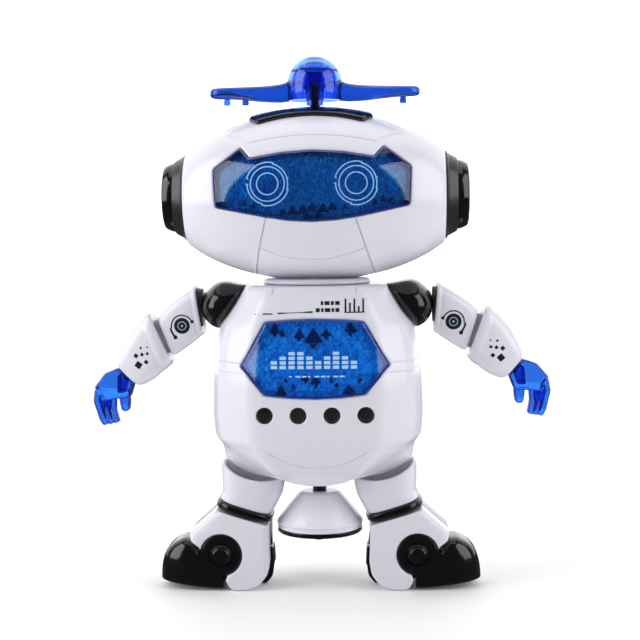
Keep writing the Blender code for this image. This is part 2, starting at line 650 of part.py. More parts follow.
def build_arm(side, word):
    upper_stations = [((49.2, 128.0), (47.0, 108.2), 9.8), ((52.5, 126.0), (50.0, 105.9), 9.8),
                      ((58.0, 121.6), (55.2, 102.0), 9.2), ((65.2, 115.4), (60.2, 99.6), 8.4),
                      ((66.2, 114.2), (61.4, 99.9), 7.6)]
    upper = arm_loft(word + "_upper_arm", side, upper_stations)
    hollow = [((46.4, 128.4), (44.0, 108.4), 9.8)] + upper_stations[1:3]
    hollow.append(((62.0, 117.6), (57.6, 101.2), 8.6))
    cut(upper, arm_loft("tool", side, hollow, -1.7))
    cut(upper, arm_rod("tool", side, 3.0 + GAP, ELBOW_CENTRE, ELBOW_TILT, -6.0, 4.0))

    disc = turned(word + "_shoulder_disc", [
        (0.0, 25.6), (4.4, 25.6), (4.4, 27.4), (2.6, 27.4),
        (2.6, 47.9), (6.8, 47.9), (6.8, 49.2), (0.0, 49.2)],
        20, along((side, 0, 0), (0, 0, ARM_AXIS_Z)))

    elbow = arm_rod(word + "_elbow_disc", side, 7.4, ELBOW_CENTRE, ELBOW_TILT, -0.45, 0.77, 20)
    join(elbow, arm_rod("tool", side, 3.0, ELBOW_CENTRE, ELBOW_TILT, -4.0, 5.0))

    fore_stations = [((69.6, 116.6), (62.4, 97.4), 10.2), ((72.4, 117.0), (64.0, 94.2), 10.8),
                     ((79.4, 107.2), (68.6, 89.9), 9.0), ((85.0, 98.2), (74.6, 87.6), 6.6),
                     ((84.8, 95.8), (78.6, 88.8), 5.0)]
    forearm = arm_loft(word + "_forearm", side, fore_stations)
    cut(forearm, arm_rod("tool", side, 3.0 + GAP, ELBOW_CENTRE, ELBOW_TILT, 1.0, 6.0))
    cut(forearm, arm_rod("tool", side, 3.0 + GAP, WRIST_CENTRE, WRIST_TILT, -7.0, 3.0))

    outline = [arm_point(side, point) for point in HAND_OUTLINE]
    hand = prism(word + "_hand", outline, -5.5, 5.5, edge=1.2)
    join(hand, arm_rod("tool", side, 3.0, WRIST_CENTRE, WRIST_TILT, -5.5, 3.5))
    for y in FINGER_SLOTS_Y:
        cut(hand, block("tool", (side * 86.5, y - 0.5, 60), (side * 99.0, y + 0.5, 84)))

    elbow_x, elbow_z = arm_point(side, ELBOW_CENTRE)
    wrist_x, wrist_z = arm_point(side, WRIST_CENTRE)
    swing = [finish(upper, WHITE), finish(disc, DARK_GREY)]
    turn = [finish(elbow, DARK_GREY), finish(forearm, WHITE)]
    pivot(word + "_arm_pivot", (side * ARM_PIVOT[0], 0, ARM_AXIS_Z), swing)
    pivot(word + "_elbow_pivot", (elbow_x, 0, elbow_z), turn)
    pivot(word + "_wrist_pivot", (wrist_x, 0, wrist_z), [finish(hand, BLUE)])


# ---------------------------------------------------------------- legs

def leg_axis_point(distance):
    """A point on the leg's tilted axis, upwards from the knee centre."""
    return (KNEE_CENTRE[0] - math.sin(KNEE_TILT) * distance,
            KNEE_CENTRE[1] + math.cos(KNEE_TILT) * distance)


def knee_section(distance, half, depth, side):
    """A ring across the leg axis."""
    centre = Vector(leg_axis_point(distance))
    reach = Vector((math.cos(KNEE_TILT), math.sin(KNEE_TILT))) * half
    outer, inner = centre + reach, centre - reach
    return oval((side * outer.x, outer.y), (side * inner.x, inner.y), depth, power=3.0)


def leg_rod(side, radius, start, end):
    low, high = leg_axis_point(start), leg_axis_point(end)
    return cylinder("tool", radius, (side * low[0], 0, low[1]), (side * high[0], 0, high[1]), 20)


def thigh_loft(name, side, shrink, floor):
    half, depth = KNEE_HALF
    rings = [knee_section(KNEE_THICK / 2.0 + GAP + floor, half - 0.9 - shrink, depth - 0.6 - shrink, side)]
    for outer, inner, deep in (((40.3, 44.0), (15.9, 41.0), 14.0), ((39.6, 52.0), (14.2, 47.0), 14.4),
                               ((39.4, 60.0), (13.4, 56.0), 14.4)):
        rings.append(oval((side * (outer[0] - shrink), outer[1]), (side * (inner[0] + shrink), inner[1]),
                          deep - shrink, power=3.0))
    return loft(name, rings)


def build_leg(side, word):
    thigh = thigh_loft(word + "_thigh", side, 0.0, 0.0)
    cut(thigh, thigh_loft("tool", side, 1.7, 2.0))
    rim = [(side * HIP_CENTRE[0], -30.0, HIP_CENTRE[1]), (side * HIP_CENTRE[0], 30.0, HIP_CENTRE[1])]
    cut(thigh, cylinder("tool", HIP_BULGE_R + 0.7, rim[0], rim[1], 40))
    cut(thigh, leg_rod(side, ANKLE_PEG_R + GAP, 0.0, 7.0))
    bracket = [(16.4, 40.5), (20.6, 40.5), (24.6, 66.0), (26.0, 70.0),
               (24.8, 73.0), (22.0, 74.0), (19.2, 73.0), (18.0, 70.0)]
    join(thigh, prism("tool", mirrored(side, bracket), -4.0, 4.0))
    foot = [(14.8, 42.4), (15.4, 38.0), (24.0, 36.4), (30.0, 41.0)]
    join(thigh, prism("tool", mirrored(side, foot), -4.0, 4.0))
    eye = (side * HIP_CENTRE[0], 0, HIP_CENTRE[1])
    cut(thigh, cylinder("tool", HIP_PIN_R + 0.2, (eye[0], -10, eye[2]), (eye[0], 10, eye[2]), 20))

    half, depth = KNEE_HALF
    edge = KNEE_THICK / 2.0
    ring = loft(word + "_knee_ring", [
        knee_section(-edge, half - 0.5, depth - 0.5, side), knee_section(0.5 - edge, half, depth, side),
        knee_section(edge - 0.5, half, depth, side), knee_section(edge, half - 0.5, depth - 0.5, side)])
    join(ring, leg_rod(side, ANKLE_PEG_R, -7.0, 5.0))

    outline = BOOT_OUTER + circle(BOSS_CENTRE, BOOT_CUT_R, 14.0, 252.0, 13) + BOOT_HEEL
    outline = mirrored(side, outline)
    near, far = CORE_HALF + GAP, BOOT_HALF_DEPTH
    front = prism(word + "_boot_front_shell", outline, -far, -near)
    rear = prism(word + "_boot_rear_shell", outline, near, far)
    for shell, sign in ((front, -1), (rear, 1)):
        ends = sorted((sign * (near - 1.0), sign * (far - 1.8)))
        cut(shell, prism("tool", inset(outline, 1.8), ends[0], ends[1]))
        cut(shell, leg_rod(side, ANKLE_PEG_R + GAP, -8.0, 0.0))

    shoe = prism(word + "_shoe", mirrored(side, TOE_OUTLINE), -16, 16)
    keep(shoe, prism("tool", mirrored(side, TOE_PLAN), -2, 30, "Z"))
    join(shoe, prism("tool", mirrored(side, CORE_OUTLINE), -CORE_HALF, CORE_HALF))
    boss_x, boss_z = side * BOSS_CENTRE[0], BOSS_CENTRE[1]
    join(shoe, cylinder("tool", BOOT_CUT_R - GAP, (boss_x, -12.8, boss_z), (boss_x, 12.8, boss_z), 32))
    join(shoe, cylinder("tool", 3.8, (boss_x, -14.6, boss_z), (boss_x, 14.6, boss_z), 20))
    cut(shoe, leg_rod(side, ANKLE_PEG_R + GAP, -8.0, 0.0))

    leg = [finish(thigh, WHITE), finish(ring, BLACK)]
    boot = [finish(front, WHITE), finish(rear, WHITE), finish(shoe, BLACK)]
    pivot(word + "_hip_pivot", (side * HIP_CENTRE[0], 0, HIP_CENTRE[1]), leg)
    pivot(word + "_ankle_pivot", (side * KNEE_CENTRE[0], 0, KNEE_CENTRE[1]), boot)


# ---------------------------------------------------------------- drive base

def build_drive_base():
    cone = turned("drive_cone", [
        (DRIVE_SHAFT_R + GAP, CONE_TOP_Z), (7.6, CONE_TOP_Z), (9.2, 38.9), (12.8, 34.2), (CONE_R, 27.8),
        (17.8, CONE_LIP_Z), (15.9, CONE_LIP_Z), (15.9, 27.0), (8.0, 37.6), (DRIVE_SHAFT_R + GAP, 37.6)], 28)
    plate = turned("base_plate", [
        (0.0, BASE_BOTTOM_Z), (17.6, BASE_BOTTOM_Z), (18.0, BASE_BOTTOM_Z + 0.3), (18.0, CONE_LIP_Z - 0.25),
        (15.5, CONE_LIP_Z - 0.25), (15.5, CONE_LIP_Z + 0.9), (0.0, CONE_LIP_Z + 0.9)], 28)
    for side in (1, -1):
        x = side * WHEEL_X
        cut(plate, block("tool", (x - 2.4, -5.4, 20), (x + 2.4, 5.4, 30)))
        join(plate, block("tool", (side * 5.0 - 1.2, -2.4, 24.6), (side * 5.0 + 1.2, 2.4, 28.4)))
    cut(plate, cylinder("tool", 1.0 + 0.2, (-12, 0, AXLE_Z), (12, 0, AXLE_Z), 16))
    join(plate, cylinder("tool", 2.2, (0, -11, 21.6), (0, -11, 24.0), 16))
    shaft = turned("drive_shaft", [
        (0.0, 28.8), (DRIVE_SHAFT_R, 28.8), (DRIVE_SHAFT_R, 35.2), (7.0, 35.2),
        (7.0, 37.2), (DRIVE_SHAFT_R, 37.2), (DRIVE_SHAFT_R, 54.0), (0.0, 54.0)], 20)
    axle = cylinder("wheel_axle", 1.0, (-13.0, 0, AXLE_Z), (13.0, 0, AXLE_Z), 16)
    pieces = [finish(cone, WHITE), finish(plate, BLACK), finish(shaft, BLACK), finish(axle, STEEL)]
    pivot("drive_base_pivot", (0, 0, CONE_TOP_Z), pieces)
    for side, word in ((1, "left"), (-1, "right")):
        wheel = turned(word + "_drive_wheel", [
            (1.2, -1.8), (WHEEL_R - 0.5, -1.8), (WHEEL_R, -1.2),
            (WHEEL_R, 1.2), (WHEEL_R - 0.5, 1.8), (1.2, 1.8)],
            20, along((1, 0, 0), (side * WHEEL_X, 0, AXLE_Z)))
        pivot(word + "_wheel_pivot", (side * WHEEL_X, 0, AXLE_Z), [finish(wheel, RUBBER)])


def main():
    clear_scene()
    build_head()
    build_rotor()
    build_torso()
    for side, word in ((1, "left"), (-1, "right")):
        build_arm(side, word)
        build_leg(side, word)
    build_drive_base()


main()
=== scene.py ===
"""Looks of the toy robot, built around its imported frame.

Shapes are worked out in millimetres in the frame's own axes (+Z up, the robot faces -Y, its own left
side is +X) and turned into metres when a mesh is made.
"""
import math

import bmesh
import bpy
import numpy as np
from mathutils import Matrix, Vector
from mathutils.bvhtree import BVHTree
from mathutils.geometry import delaunay_2d_cdt
from mathutils.kdtree import KDTree


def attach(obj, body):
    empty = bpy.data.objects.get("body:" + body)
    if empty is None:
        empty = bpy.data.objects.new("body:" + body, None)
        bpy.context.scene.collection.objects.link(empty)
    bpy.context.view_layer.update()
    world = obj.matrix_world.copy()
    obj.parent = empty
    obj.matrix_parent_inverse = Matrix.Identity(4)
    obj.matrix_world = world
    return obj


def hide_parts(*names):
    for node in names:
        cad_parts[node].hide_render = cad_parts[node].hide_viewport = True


MM = 0.001
NO_NORMAL = (0.0, 0.0, 0.0)
SEED_CELL = 0.16                         # closest that two points along a groove may lie
HALF_TURN = math.pi
SIDES = ((1, "left"), (-1, "right"))

# Head: an ellipsoid with flat ends
HEAD_AXES = np.array((64.0, 41.6, 35.0))
HEAD_Z = 163.5
HEAD_END_X = 53.0
EAR_HOLE_R = 12.6
SCREW_X = 33.0
SCREW_ZS = (150.5, 178.0)
VISOR = [(0.0, 181.2), (-12.0, 180.4), (-24.8, 178.3), (-28.5, 182.7), (-39.5, 174.3), (-38.6, 159.0),
         (-18.2, 155.1), (-9.0, 153.7), (0.0, 153.2), (9.0, 153.7), (18.2, 155.1), (38.3, 159.3),
         (39.0, 174.8), (28.2, 182.9), (24.2, 178.5), (12.0, 180.5)]
CREST = [(x - 1.2, y) for x, y in (
    (-25.0, -12.0), (-21.2, -19.2), (-11.0, -17.6), (0.0, -16.8), (11.0, -17.6), (21.2, -19.2), (25.0, -12.0),
    (25.0, 12.0), (21.2, 19.2), (0.0, 16.8), (-21.2, 19.2), (-25.0, 12.0))]
EYE_X = 17.3
EYE_Z = 168.0
EYE_LINE = 0.44
PEG_RADII = {1: (36.4,), -1: (28.8, 36.4)}
BLADE_PITCH = math.radians(3.0)

# Torso sections: height, half width and depth of the front panel, facet corner, half width
TORSO_ROWS = [
    (41.0, 12.0, 13.0, 17.0, 9.0, 19.0),
    (46.2, 13.5, 19.5, 20.0, 10.0, 28.0),
    (48.4, 14.5, 22.5, 22.5, 10.5, 33.6),
    (51.0, 17.0, 26.0, 25.5, 11.5, 37.2),
    (55.0, 19.6, 29.5, 30.0, 14.0, 38.9),
    (61.0, 23.0, 33.0, 35.4, 19.0, 39.8),
    (65.5, 25.0, 35.0, 38.7, 21.5, 42.6),
    (75.0, 26.0, 36.4, 39.7, 22.5, 43.3),
    (86.0, 26.5, 36.5, 39.5, 23.0, 43.0),
    (98.0, 26.0, 35.6, 38.7, 23.0, 42.3),
    (110.0, 25.0, 33.6, 36.2, 22.0, 40.4),
    (120.0, 22.0, 30.6, 30.7, 19.0, 35.6),
    (127.3, 18.6, 26.5, 25.7, 17.0, 31.0),
]
TORSO_TOP = 127.3
TORSO_SPAN = 17.0                        # plane distance from one section corner to the next
TORSO_EDGE = 1.8                         # radius of the top edge
PANEL_BOW = 1.6
HIP = (22.0, 70.0)
HIP_R = 22.2
THIGH_RIM = (22.0, 73.2, 27.4)
CHEST = [(-30.1, 95.9), (-20.0, 84.7), (-10.0, 83.7), (0.0, 83.3), (10.0, 83.7), (20.0, 84.9), (30.1, 96.2),
         (19.6, 113.5), (10.0, 114.3), (0.0, 114.6), (-10.0, 114.3), (-19.6, 113.5)]
PORT_XS = (-20.1, -6.7, 6.7, 20.1)
PORT_Z = 76.5
PORT_R = 3.1
LEVELS = (2, 3, 4, 4, 3, 2, 3, 4, 3, 2)   # blocks in each column of the window's meter
LID_SCREW_Z = 105.0

# Arms and legs, for the robot's left side
ARM_PIVOT = (42.0, 118.2)
ARM_DROOP = {1: 0.0, -1: math.radians(-3.3)}
ELBOW = (64.9, 107.1)
# Rows along the arm: upper x and z, lower x and z, half depth, shrink
UPPER_MOUTH = [
    (55.0, 121.4, 52.6, 106.4, 7.6, 1.6), (50.6, 126.4, 48.8, 108.4, 9.0, 1.5),
    (50.2, 127.0, 48.4, 107.6, 9.4, 1.1), (49.9, 127.5, 48.0, 107.1, 9.6, 0.5),
    (50.2, 127.7, 48.2, 106.8, 9.8, 0.1), (50.9, 127.4, 48.9, 106.4, 9.9, 0.0),
    (51.7, 126.8, 49.6, 105.9, 9.8, 0.12), (52.2, 126.5, 50.0, 105.6, 9.7, 0.2)]
UPPER_SLEEVE = [
    (52.8, 126.1, 50.6, 105.2, 9.7, 0.05), (55.6, 124.5, 53.0, 103.6, 9.6, 0.0),
    (59.8, 121.8, 56.2, 101.5, 9.3, 0.0), (63.4, 119.2, 59.0, 99.8, 8.9, 0.0),
    (65.6, 117.2, 60.6, 99.0, 8.5, 0.0)]
UPPER_END = [
    (66.5, 115.9, 61.2, 98.8, 8.3, 0.25), (66.8, 114.8, 61.5, 98.9, 8.0, 0.8),
    (66.7, 114.0, 61.7, 99.4, 7.6, 1.6), (66.0, 112.6, 61.8, 101.0, 6.0, 2.0)]
LOWER_MOUTH = [
    (71.0, 112.0, 65.6, 98.4, 7.0, 2.2), (69.8, 115.4, 62.8, 97.6, 9.4, 1.6),
    (69.3, 116.6, 62.1, 97.0, 10.0, 0.8), (69.6, 117.3, 62.2, 96.2, 10.4, 0.2),
    (70.6, 117.6, 62.8, 95.3, 10.6, 0.0), (72.0, 117.2, 64.2, 94.0, 10.6, 0.0),
    (73.2, 116.2, 65.4, 93.1, 10.5, 0.05), (73.8, 115.6, 66.0, 92.7, 10.4, 0.28)]
LOWER_SLEEVE = [
    (74.4, 115.0, 66.6, 92.3, 10.3, 0.12), (77.2, 112.2, 69.0, 90.6, 9.8, 0.0),
    (80.0, 108.9, 71.5, 89.0, 9.1, 0.0), (82.1, 105.4, 73.6, 88.0, 8.4, 0.0),
    (83.8, 101.9, 75.4, 87.4, 7.6, 0.0), (85.0, 98.8, 76.8, 87.3, 6.9, 0.0)]
LOWER_END = [
    (85.5, 97.4, 77.4, 87.4, 6.5, 0.15), (85.6, 96.5, 78.0, 87.8, 6.1, 0.5),
    (85.2, 95.8, 78.4, 88.5, 5.6, 0.9), (84.2, 94.8, 78.6, 89.4, 4.6, 1.0)]
ELBOW_TILT = math.radians(-20.5)
WRIST = (81.9, 92.1)
WRIST_TILT = math.radians(-42.0)
KNEE = (31.35, 32.7)
KNEE_TILT = math.radians(17.0)
KNEE_HALF = (12.2, 13.4)
BOSS = (40.9, 15.1)
BOOT_CUT_R = 9.0
BOOT_FACE = 14.0

# ---------------------------------------------------------------- materials


def principled(name, color, roughness, **sockets):
    made = bpy.data.materials.new(name)
    made.use_nodes = True
    shader = made.node_tree.nodes["Principled BSDF"]
    shader.inputs["Base Color"].default_value = (*color, 1.0)
    shader.inputs["Roughness"].default_value = roughness
    for key, value in sockets.items():
        shader.inputs[key.replace("_", " ")].default_value = value
    return made


def noise(made, scale, detail=3.0):
    """Noise on the object's own coordinates."""
    nodes = made.node_tree.nodes
    grain = nodes.new("ShaderNodeTexNoise")
    grain.inputs["Scale"].default_value = scale
    grain.inputs["Detail"].default_value = detail
    place = nodes.new("ShaderNodeTexCoord")
    made.node_tree.links.new(place.outputs["Object"], grain.inputs["Vector"])
    return grain.outputs["Fac"]


def ramp(made, source, low, high, start=0.35, end=0.65):
    """A colour ramp between two greys or two colours."""
    node = made.node_tree.nodes.new("ShaderNodeValToRGB")
    for element, place, value in zip(node.color_ramp.elements, (start, end), (low, high)):
        element.position = place
        color = value if isinstance(value, tuple) else (value,) * 3
        element.color = (*color, 1.0)
    made.node_tree.links.new(source, node.inputs["Fac"])
    return node.outputs["Color"]


def drive(made, source, socket):
    made.node_tree.links.new(source, made.node_tree.nodes["Principled BSDF"].inputs[socket])


def bump(made, source, strength, distance):
    node = made.node_tree.nodes.new("ShaderNodeBump")
    node.inputs["Strength"].default_value = strength
    node.inputs["Distance"].default_value = distance
    made.node_tree.links.new(source, node.inputs["Height"])
    drive(made, node.outputs["Normal"], "Normal")


def moulded(name, color, rough, vary=0.03, mottle=0.004, grain=1600.0, grain_depth=0.00002, **sockets):
    """Injection moulded plastic: faint mottling, uneven gloss and a fine grain."""
    made = principled(name, color, rough, **sockets)
    cloud = noise(made, 45.0)
    darker = tuple(c * (1.0 - mottle * 3.0) for c in color)
    drive(made, ramp(made, cloud, darker, color), "Base Color")
    drive(made, ramp(made, noise(made, 180.0), rough - vary, rough + vary), "Roughness")
    bump(made, noise(made, grain, 2.0), 0.15, grain_depth)
    return made


def reflector(name, color, glow):
    """Facets with a painted glow: a small emission stands in for the light they would catch behind the window
    and hand back.
    """
    return moulded(name, color, 0.25, Emission_Color=(*glow, 1.0), Emission_Strength=0.12)


def clear_blue(name, color, rough):
    """Tinted clear plastic with slightly uneven gloss."""
    made = principled(name, color, rough, Transmission_Weight=1.0, IOR=1.46)
    drive(made, ramp(made, noise(made, 60.0), tuple(c * 0.92 for c in color), color), "Base Color")
    drive(made, ramp(made, noise(made, 220.0), rough * 0.6, rough * 1.4), "Roughness")
    return made


def lens(name, tint):
    """A thin tinted window: what is behind shows through, under a glossy face."""
    made = bpy.data.materials.new(name)
    made.use_nodes = True
    tree = made.node_tree
    tree.nodes.clear()
    out, through, shine, slant, steep, share, mix = (tree.nodes.new("ShaderNode" + kind) for kind in (
        "OutputMaterial", "BsdfTransparent", "BsdfGlossy", "LayerWeight", "Math", "Math", "MixShader"))
    through.inputs["Color"].default_value = (*tint, 1.0)
    shine.inputs["Color"].default_value = (1.0, 1.0, 1.0, 1.0)
    shine.inputs["Roughness"].default_value = 0.04
    slant.inputs["Blend"].default_value = 0.5
    steep.operation = "POWER"
    steep.inputs[1].default_value = 5.0
    share.operation = "MULTIPLY_ADD"
    share.inputs[1].default_value = 0.6
    share.inputs[2].default_value = 0.04
    cloud = ramp(made, noise(made, 120.0, 2.0), tuple(c * 0.86 for c in tint), tint, 0.0, 1.0)
    for source, socket in (
            (cloud, through.inputs["Color"]), (slant.outputs["Facing"], steep.inputs[0]),
            (steep.outputs["Value"], share.inputs[0]), (share.outputs["Value"], mix.inputs["Fac"]),
            (through.outputs["BSDF"], mix.inputs[1]), (shine.outputs["BSDF"], mix.inputs[2]),
            (mix.outputs["Shader"], out.inputs["Surface"])):
        tree.links.new(source, socket)
    return made


def make_materials():
    return {
        "cone": moulded("cone_plastic", (0.78, 0.78, 0.86), 0.16, vary=0.004),
        "white": moulded("white_plastic", (0.75, 0.75, 0.83), 0.26, vary=0.006, Coat_Weight=0.2,
                         Coat_Roughness=0.08),
        "white_back": moulded("white_plastic_inside", (0.70, 0.70, 0.76), 0.45),
        "black": moulded("black_gloss_plastic", (0.004, 0.004, 0.005), 0.13, mottle=0.05),
        "blue": clear_blue("clear_blue_plastic", (0.025, 0.16, 0.76), 0.05),
        "hub_blue": clear_blue("clear_blue_hub", (0.14, 0.38, 0.90), 0.04),
        "satin": moulded("satin_black_plastic", (0.018, 0.018, 0.020), 0.32),
        "grey": moulded("mid_grey_plastic", (0.34, 0.34, 0.39), 0.45),
        "port": moulded("port_grille", (0.013, 0.013, 0.013), 0.6, vary=0.1, mottle=0.15),
        "face_facets": moulded("face_reflector", (0.02, 0.22, 0.57), 0.25),
        "face_facets_low": moulded("face_reflector_low", (0.01, 0.16, 0.44), 0.25),
        "face_facets_high": moulded("face_reflector_high", (0.03, 0.28, 0.70), 0.25),
        # Painted glow: these reflector materials emit a little light, standing in for light they catch behind
        # the window.
        "facets": reflector("chest_reflector", (0.06, 0.38, 0.92), (0.0, 0.19, 0.85)),
        "facets_low": reflector("chest_reflector_low_painted_glow", (0.03, 0.27, 0.70), (0.0, 0.12, 0.64)),
        "facets_high": reflector("chest_reflector_high_painted_glow", (0.12, 0.50, 0.99), (0.03, 0.28, 1.0)),
        "blade_blue": clear_blue("clear_blue_blade", (0.006, 0.048, 0.38), 0.05),
        # Painted shade for the side faces of the clear blue hands.
        "edge_blue_shade": clear_blue("clear_blue_painted_edge_shade", (0.006, 0.010, 0.24), 0.08),
        "deep_blue": clear_blue("clear_blue_thick", (0.06, 0.22, 0.80), 0.05),
        "lens": lens("blue_window", (0.50, 0.86, 0.992)),
        # Painted shade: a dark navy for the rounded rims of the clear windows, where their edges look dark.
        "lens_rim_shade": moulded("blue_window_painted_edge_shade", (0.010, 0.016, 0.22), 0.12, Coat_Weight=0.6),
        # The dark facets carry the same painted glow.
        "facets_dark": reflector("reflector_dark_facets_painted_glow", (0.004, 0.02, 0.12), (0.0, 0.01, 0.10)),
        "dark": moulded("dark_grey_plastic", (0.03, 0.03, 0.034), 0.4),
        "rubber": moulded("black_rubber", (0.018, 0.018, 0.018), 0.75, vary=0.08, grain=900.0,
                          grain_depth=0.0001),
        "steel": moulded("bright_steel", (0.62, 0.62, 0.64), 0.28, vary=0.08, Metallic=1.0),
        "board": moulded("green_circuit_board", (0.015, 0.14, 0.05), 0.4, vary=0.1),
        "cell": moulded("battery_label", (0.62, 0.40, 0.09), 0.3, Metallic=0.4),
        "print_black": moulded("black_print", (0.01, 0.01, 0.012), 0.35),
        "print_blue": moulded("pale_blue_print", (0.27, 0.52, 0.95), 0.35),
        "print_pale": moulded("pale_print", (0.42, 0.66, 0.90), 0.35),
    }


# ---------------------------------------------------------------- mesh helpers


def add_mesh(name, points, faces, look, smooth=38.0, normals=None, looks=None, face_looks=None):
    """One object from points in millimetres; edges over `smooth` degrees stay sharp."""
    mesh = bpy.data.meshes.new(name)
    mesh.from_pydata([tuple(float(c) * MM for c in p) for p in points], [], faces)
    for one in (looks or [look]):
        mesh.materials.append(LOOKS[one])
    if face_looks is not None:
        mesh.polygons.foreach_set("material_index", face_looks)
    mesh.shade_smooth()
    mesh.set_sharp_from_angle(angle=math.radians(smooth))
    if normals is not None:
        mesh.normals_split_custom_set(normals)
    made = bpy.data.objects.new(name, mesh)
    bpy.context.scene.collection.objects.link(made)
    return made


def stand_for(piece, body, slot, *nodes):
    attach(piece, body)
    if nodes:
        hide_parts(*nodes)
    return piece


def resample(line, step):
    line = np.asarray(line, float)
    points = [line[0]]
    for start, end in zip(line[:-1], line[1:]):
        count = max(1, int(round(np.linalg.norm(end - start) / step)))
        points += [start + (end - start) * i / count for i in range(1, count + 1)]
    return np.array(points)


def closed(loop):
    return np.vstack([loop, loop[:1]])


def border_of(faces):
    """The directed edges that belong to one triangle only."""
    found = {}
    for a, b, c in faces:
        for pair in ((a, b), (b, c), (c, a)):
            if pair[::-1] in found:
                del found[pair[::-1]]
            else:
                found[pair] = True
    return found


def sideways(line):
    """Unit vectors across a line."""
    slope = np.gradient(line, axis=0)
    slope /= np.maximum(np.linalg.norm(slope, axis=1, keepdims=True), 1e-9)
    return np.stack([-slope[:, 1], slope[:, 0]], 1)


def triangulated(plane, edges):
    got = delaunay_2d_cdt([Vector(p) for p in plane], edges, [], 0, 1e-4)
    return np.array([tuple(v) for v in got[0]]), np.array([f for f in got[2] if len(f) == 3])


def curved(value, power):
    """A power that keeps the sign, to square off a sine or cosine."""
    return math.copysign(abs(value) ** power, value)


def turns(count):
    """The angles of a full turn in equal steps."""
    return [2 * HALF_TURN * i / count for i in range(count)]


def rounded(outline, radius, step=1.2):
    """A closed outline with its corners turned into arcs; `radius` is one number or one for each corner."""
    count = len(outline)
    radii = radius if isinstance(radius, (list, tuple)) else [radius] * count
    points = []
    for i in range(count):
        before, here, after = (np.array(outline[(i + k) % count], float) for k in (-1, 0, 1))
        back, ahead = before - here, after - here
        back_len, ahead_len = np.linalg.norm(back), np.linalg.norm(ahead)
        back, ahead = back / back_len, ahead / ahead_len
        half = math.acos(max(-1.0, min(1.0, float(back @ ahead)))) / 2.0
        if radii[i] <= 0.0 or half > math.radians(87.0):
            points.append(here)
            continue
        reach = min(radii[i] / math.tan(half), 0.45 * back_len, 0.45 * ahead_len)
        start, end = here + back * reach, here + ahead * reach
        for k in range(7):
            t = k / 6.0
            points.append(start * (1 - t) ** 2 + here * 2 * t * (1 - t) + end * t ** 2)
    return resample(closed(np.array(points)), step)[:-1]


def arc3(first, middle, last, count=24):
    """Points on the parabola through three points."""
    first, middle, last = (np.array(p, float) for p in (first, middle, last))
    control = 2.0 * middle - (first + last) / 2.0
    return np.array([first * (1 - t) ** 2 + control * 2 * t * (1 - t) + last * t ** 2
                     for t in np.linspace(0.0, 1.0, count)])


def circle(centre, radius, count=48, start=0.0, end=360.0):
    full = abs(end - start) >= 360.0
    angles = np.radians(np.linspace(start, end, count, endpoint=not full))
    return np.stack([centre[0] + radius * np.cos(angles), centre[1] + radius * np.sin(angles)], 1)


def inside(points, loop):
    """True for each point inside a closed loop."""
    x, y = points[:, 0:1], points[:, 1:2]
    ax, ay = loop[:, 0], loop[:, 1]
    bx, by = np.roll(ax, -1), np.roll(ay, -1)
    crosses = (ay > y) != (by > y)
    with np.errstate(divide="ignore", invalid="ignore"):
        at = ax + (y - ay) * (bx - ax) / (by - ay)
    return (np.sum(crosses & (x < at), axis=1) % 2) == 1


def line_distance(points, line):
    """Distance from 3D points to a 3D polyline; far points get a large value."""
    result = np.full(len(points), 1e3)
    margin = 6.0
    near = np.all((points > line.min(0) - margin) & (points < line.max(0) + margin), axis=1)
    picked = points[near]
    if not len(picked):
        return result
    best = np.full(len(picked), 1e3)
    for start, end in zip(line[:-1], line[1:]):
        along = end - start
        size = float(along @ along)
        if size < 1e-12:
            continue
        share = np.clip((picked - start) @ along / size, 0.0, 1.0)
        best = np.minimum(best, np.linalg.norm(picked - start - share[:, None] * along, axis=1))
    result[near] = best
    return result


def groove(line, half=0.42, depth=0.6):
    def profile(distance):
        share = np.clip(distance / half, 0.0, 1.0)
        return -depth * (1.0 - share * share * (3.0 - 2.0 * share))
    return np.asarray(line, float), half, profile


def edge(line, radius=0.6, drop=None):
    """A rounded-over edge along a line."""
    drop = radius * 0.5 if drop is None else drop

    def profile(distance):
        share = np.clip(1.0 - distance / radius, 0.0, 1.0)
        return -drop * share * share
    return np.asarray(line, float), radius, profile


def surface_normals(place, plane, facing):
    e = 0.05
    du = place(plane + (e, 0.0)) - place(plane - (e, 0.0))
    dv = place(plane + (0.0, e)) - place(plane - (0.0, e))
    normals = np.cross(du, dv)
    size = np.linalg.norm(normals, axis=1, keepdims=True)
    normals = normals / np.maximum(size, 1e-12)
    if np.mean(normals @ np.array(facing, float)) < 0.0:
        normals = -normals
    return normals


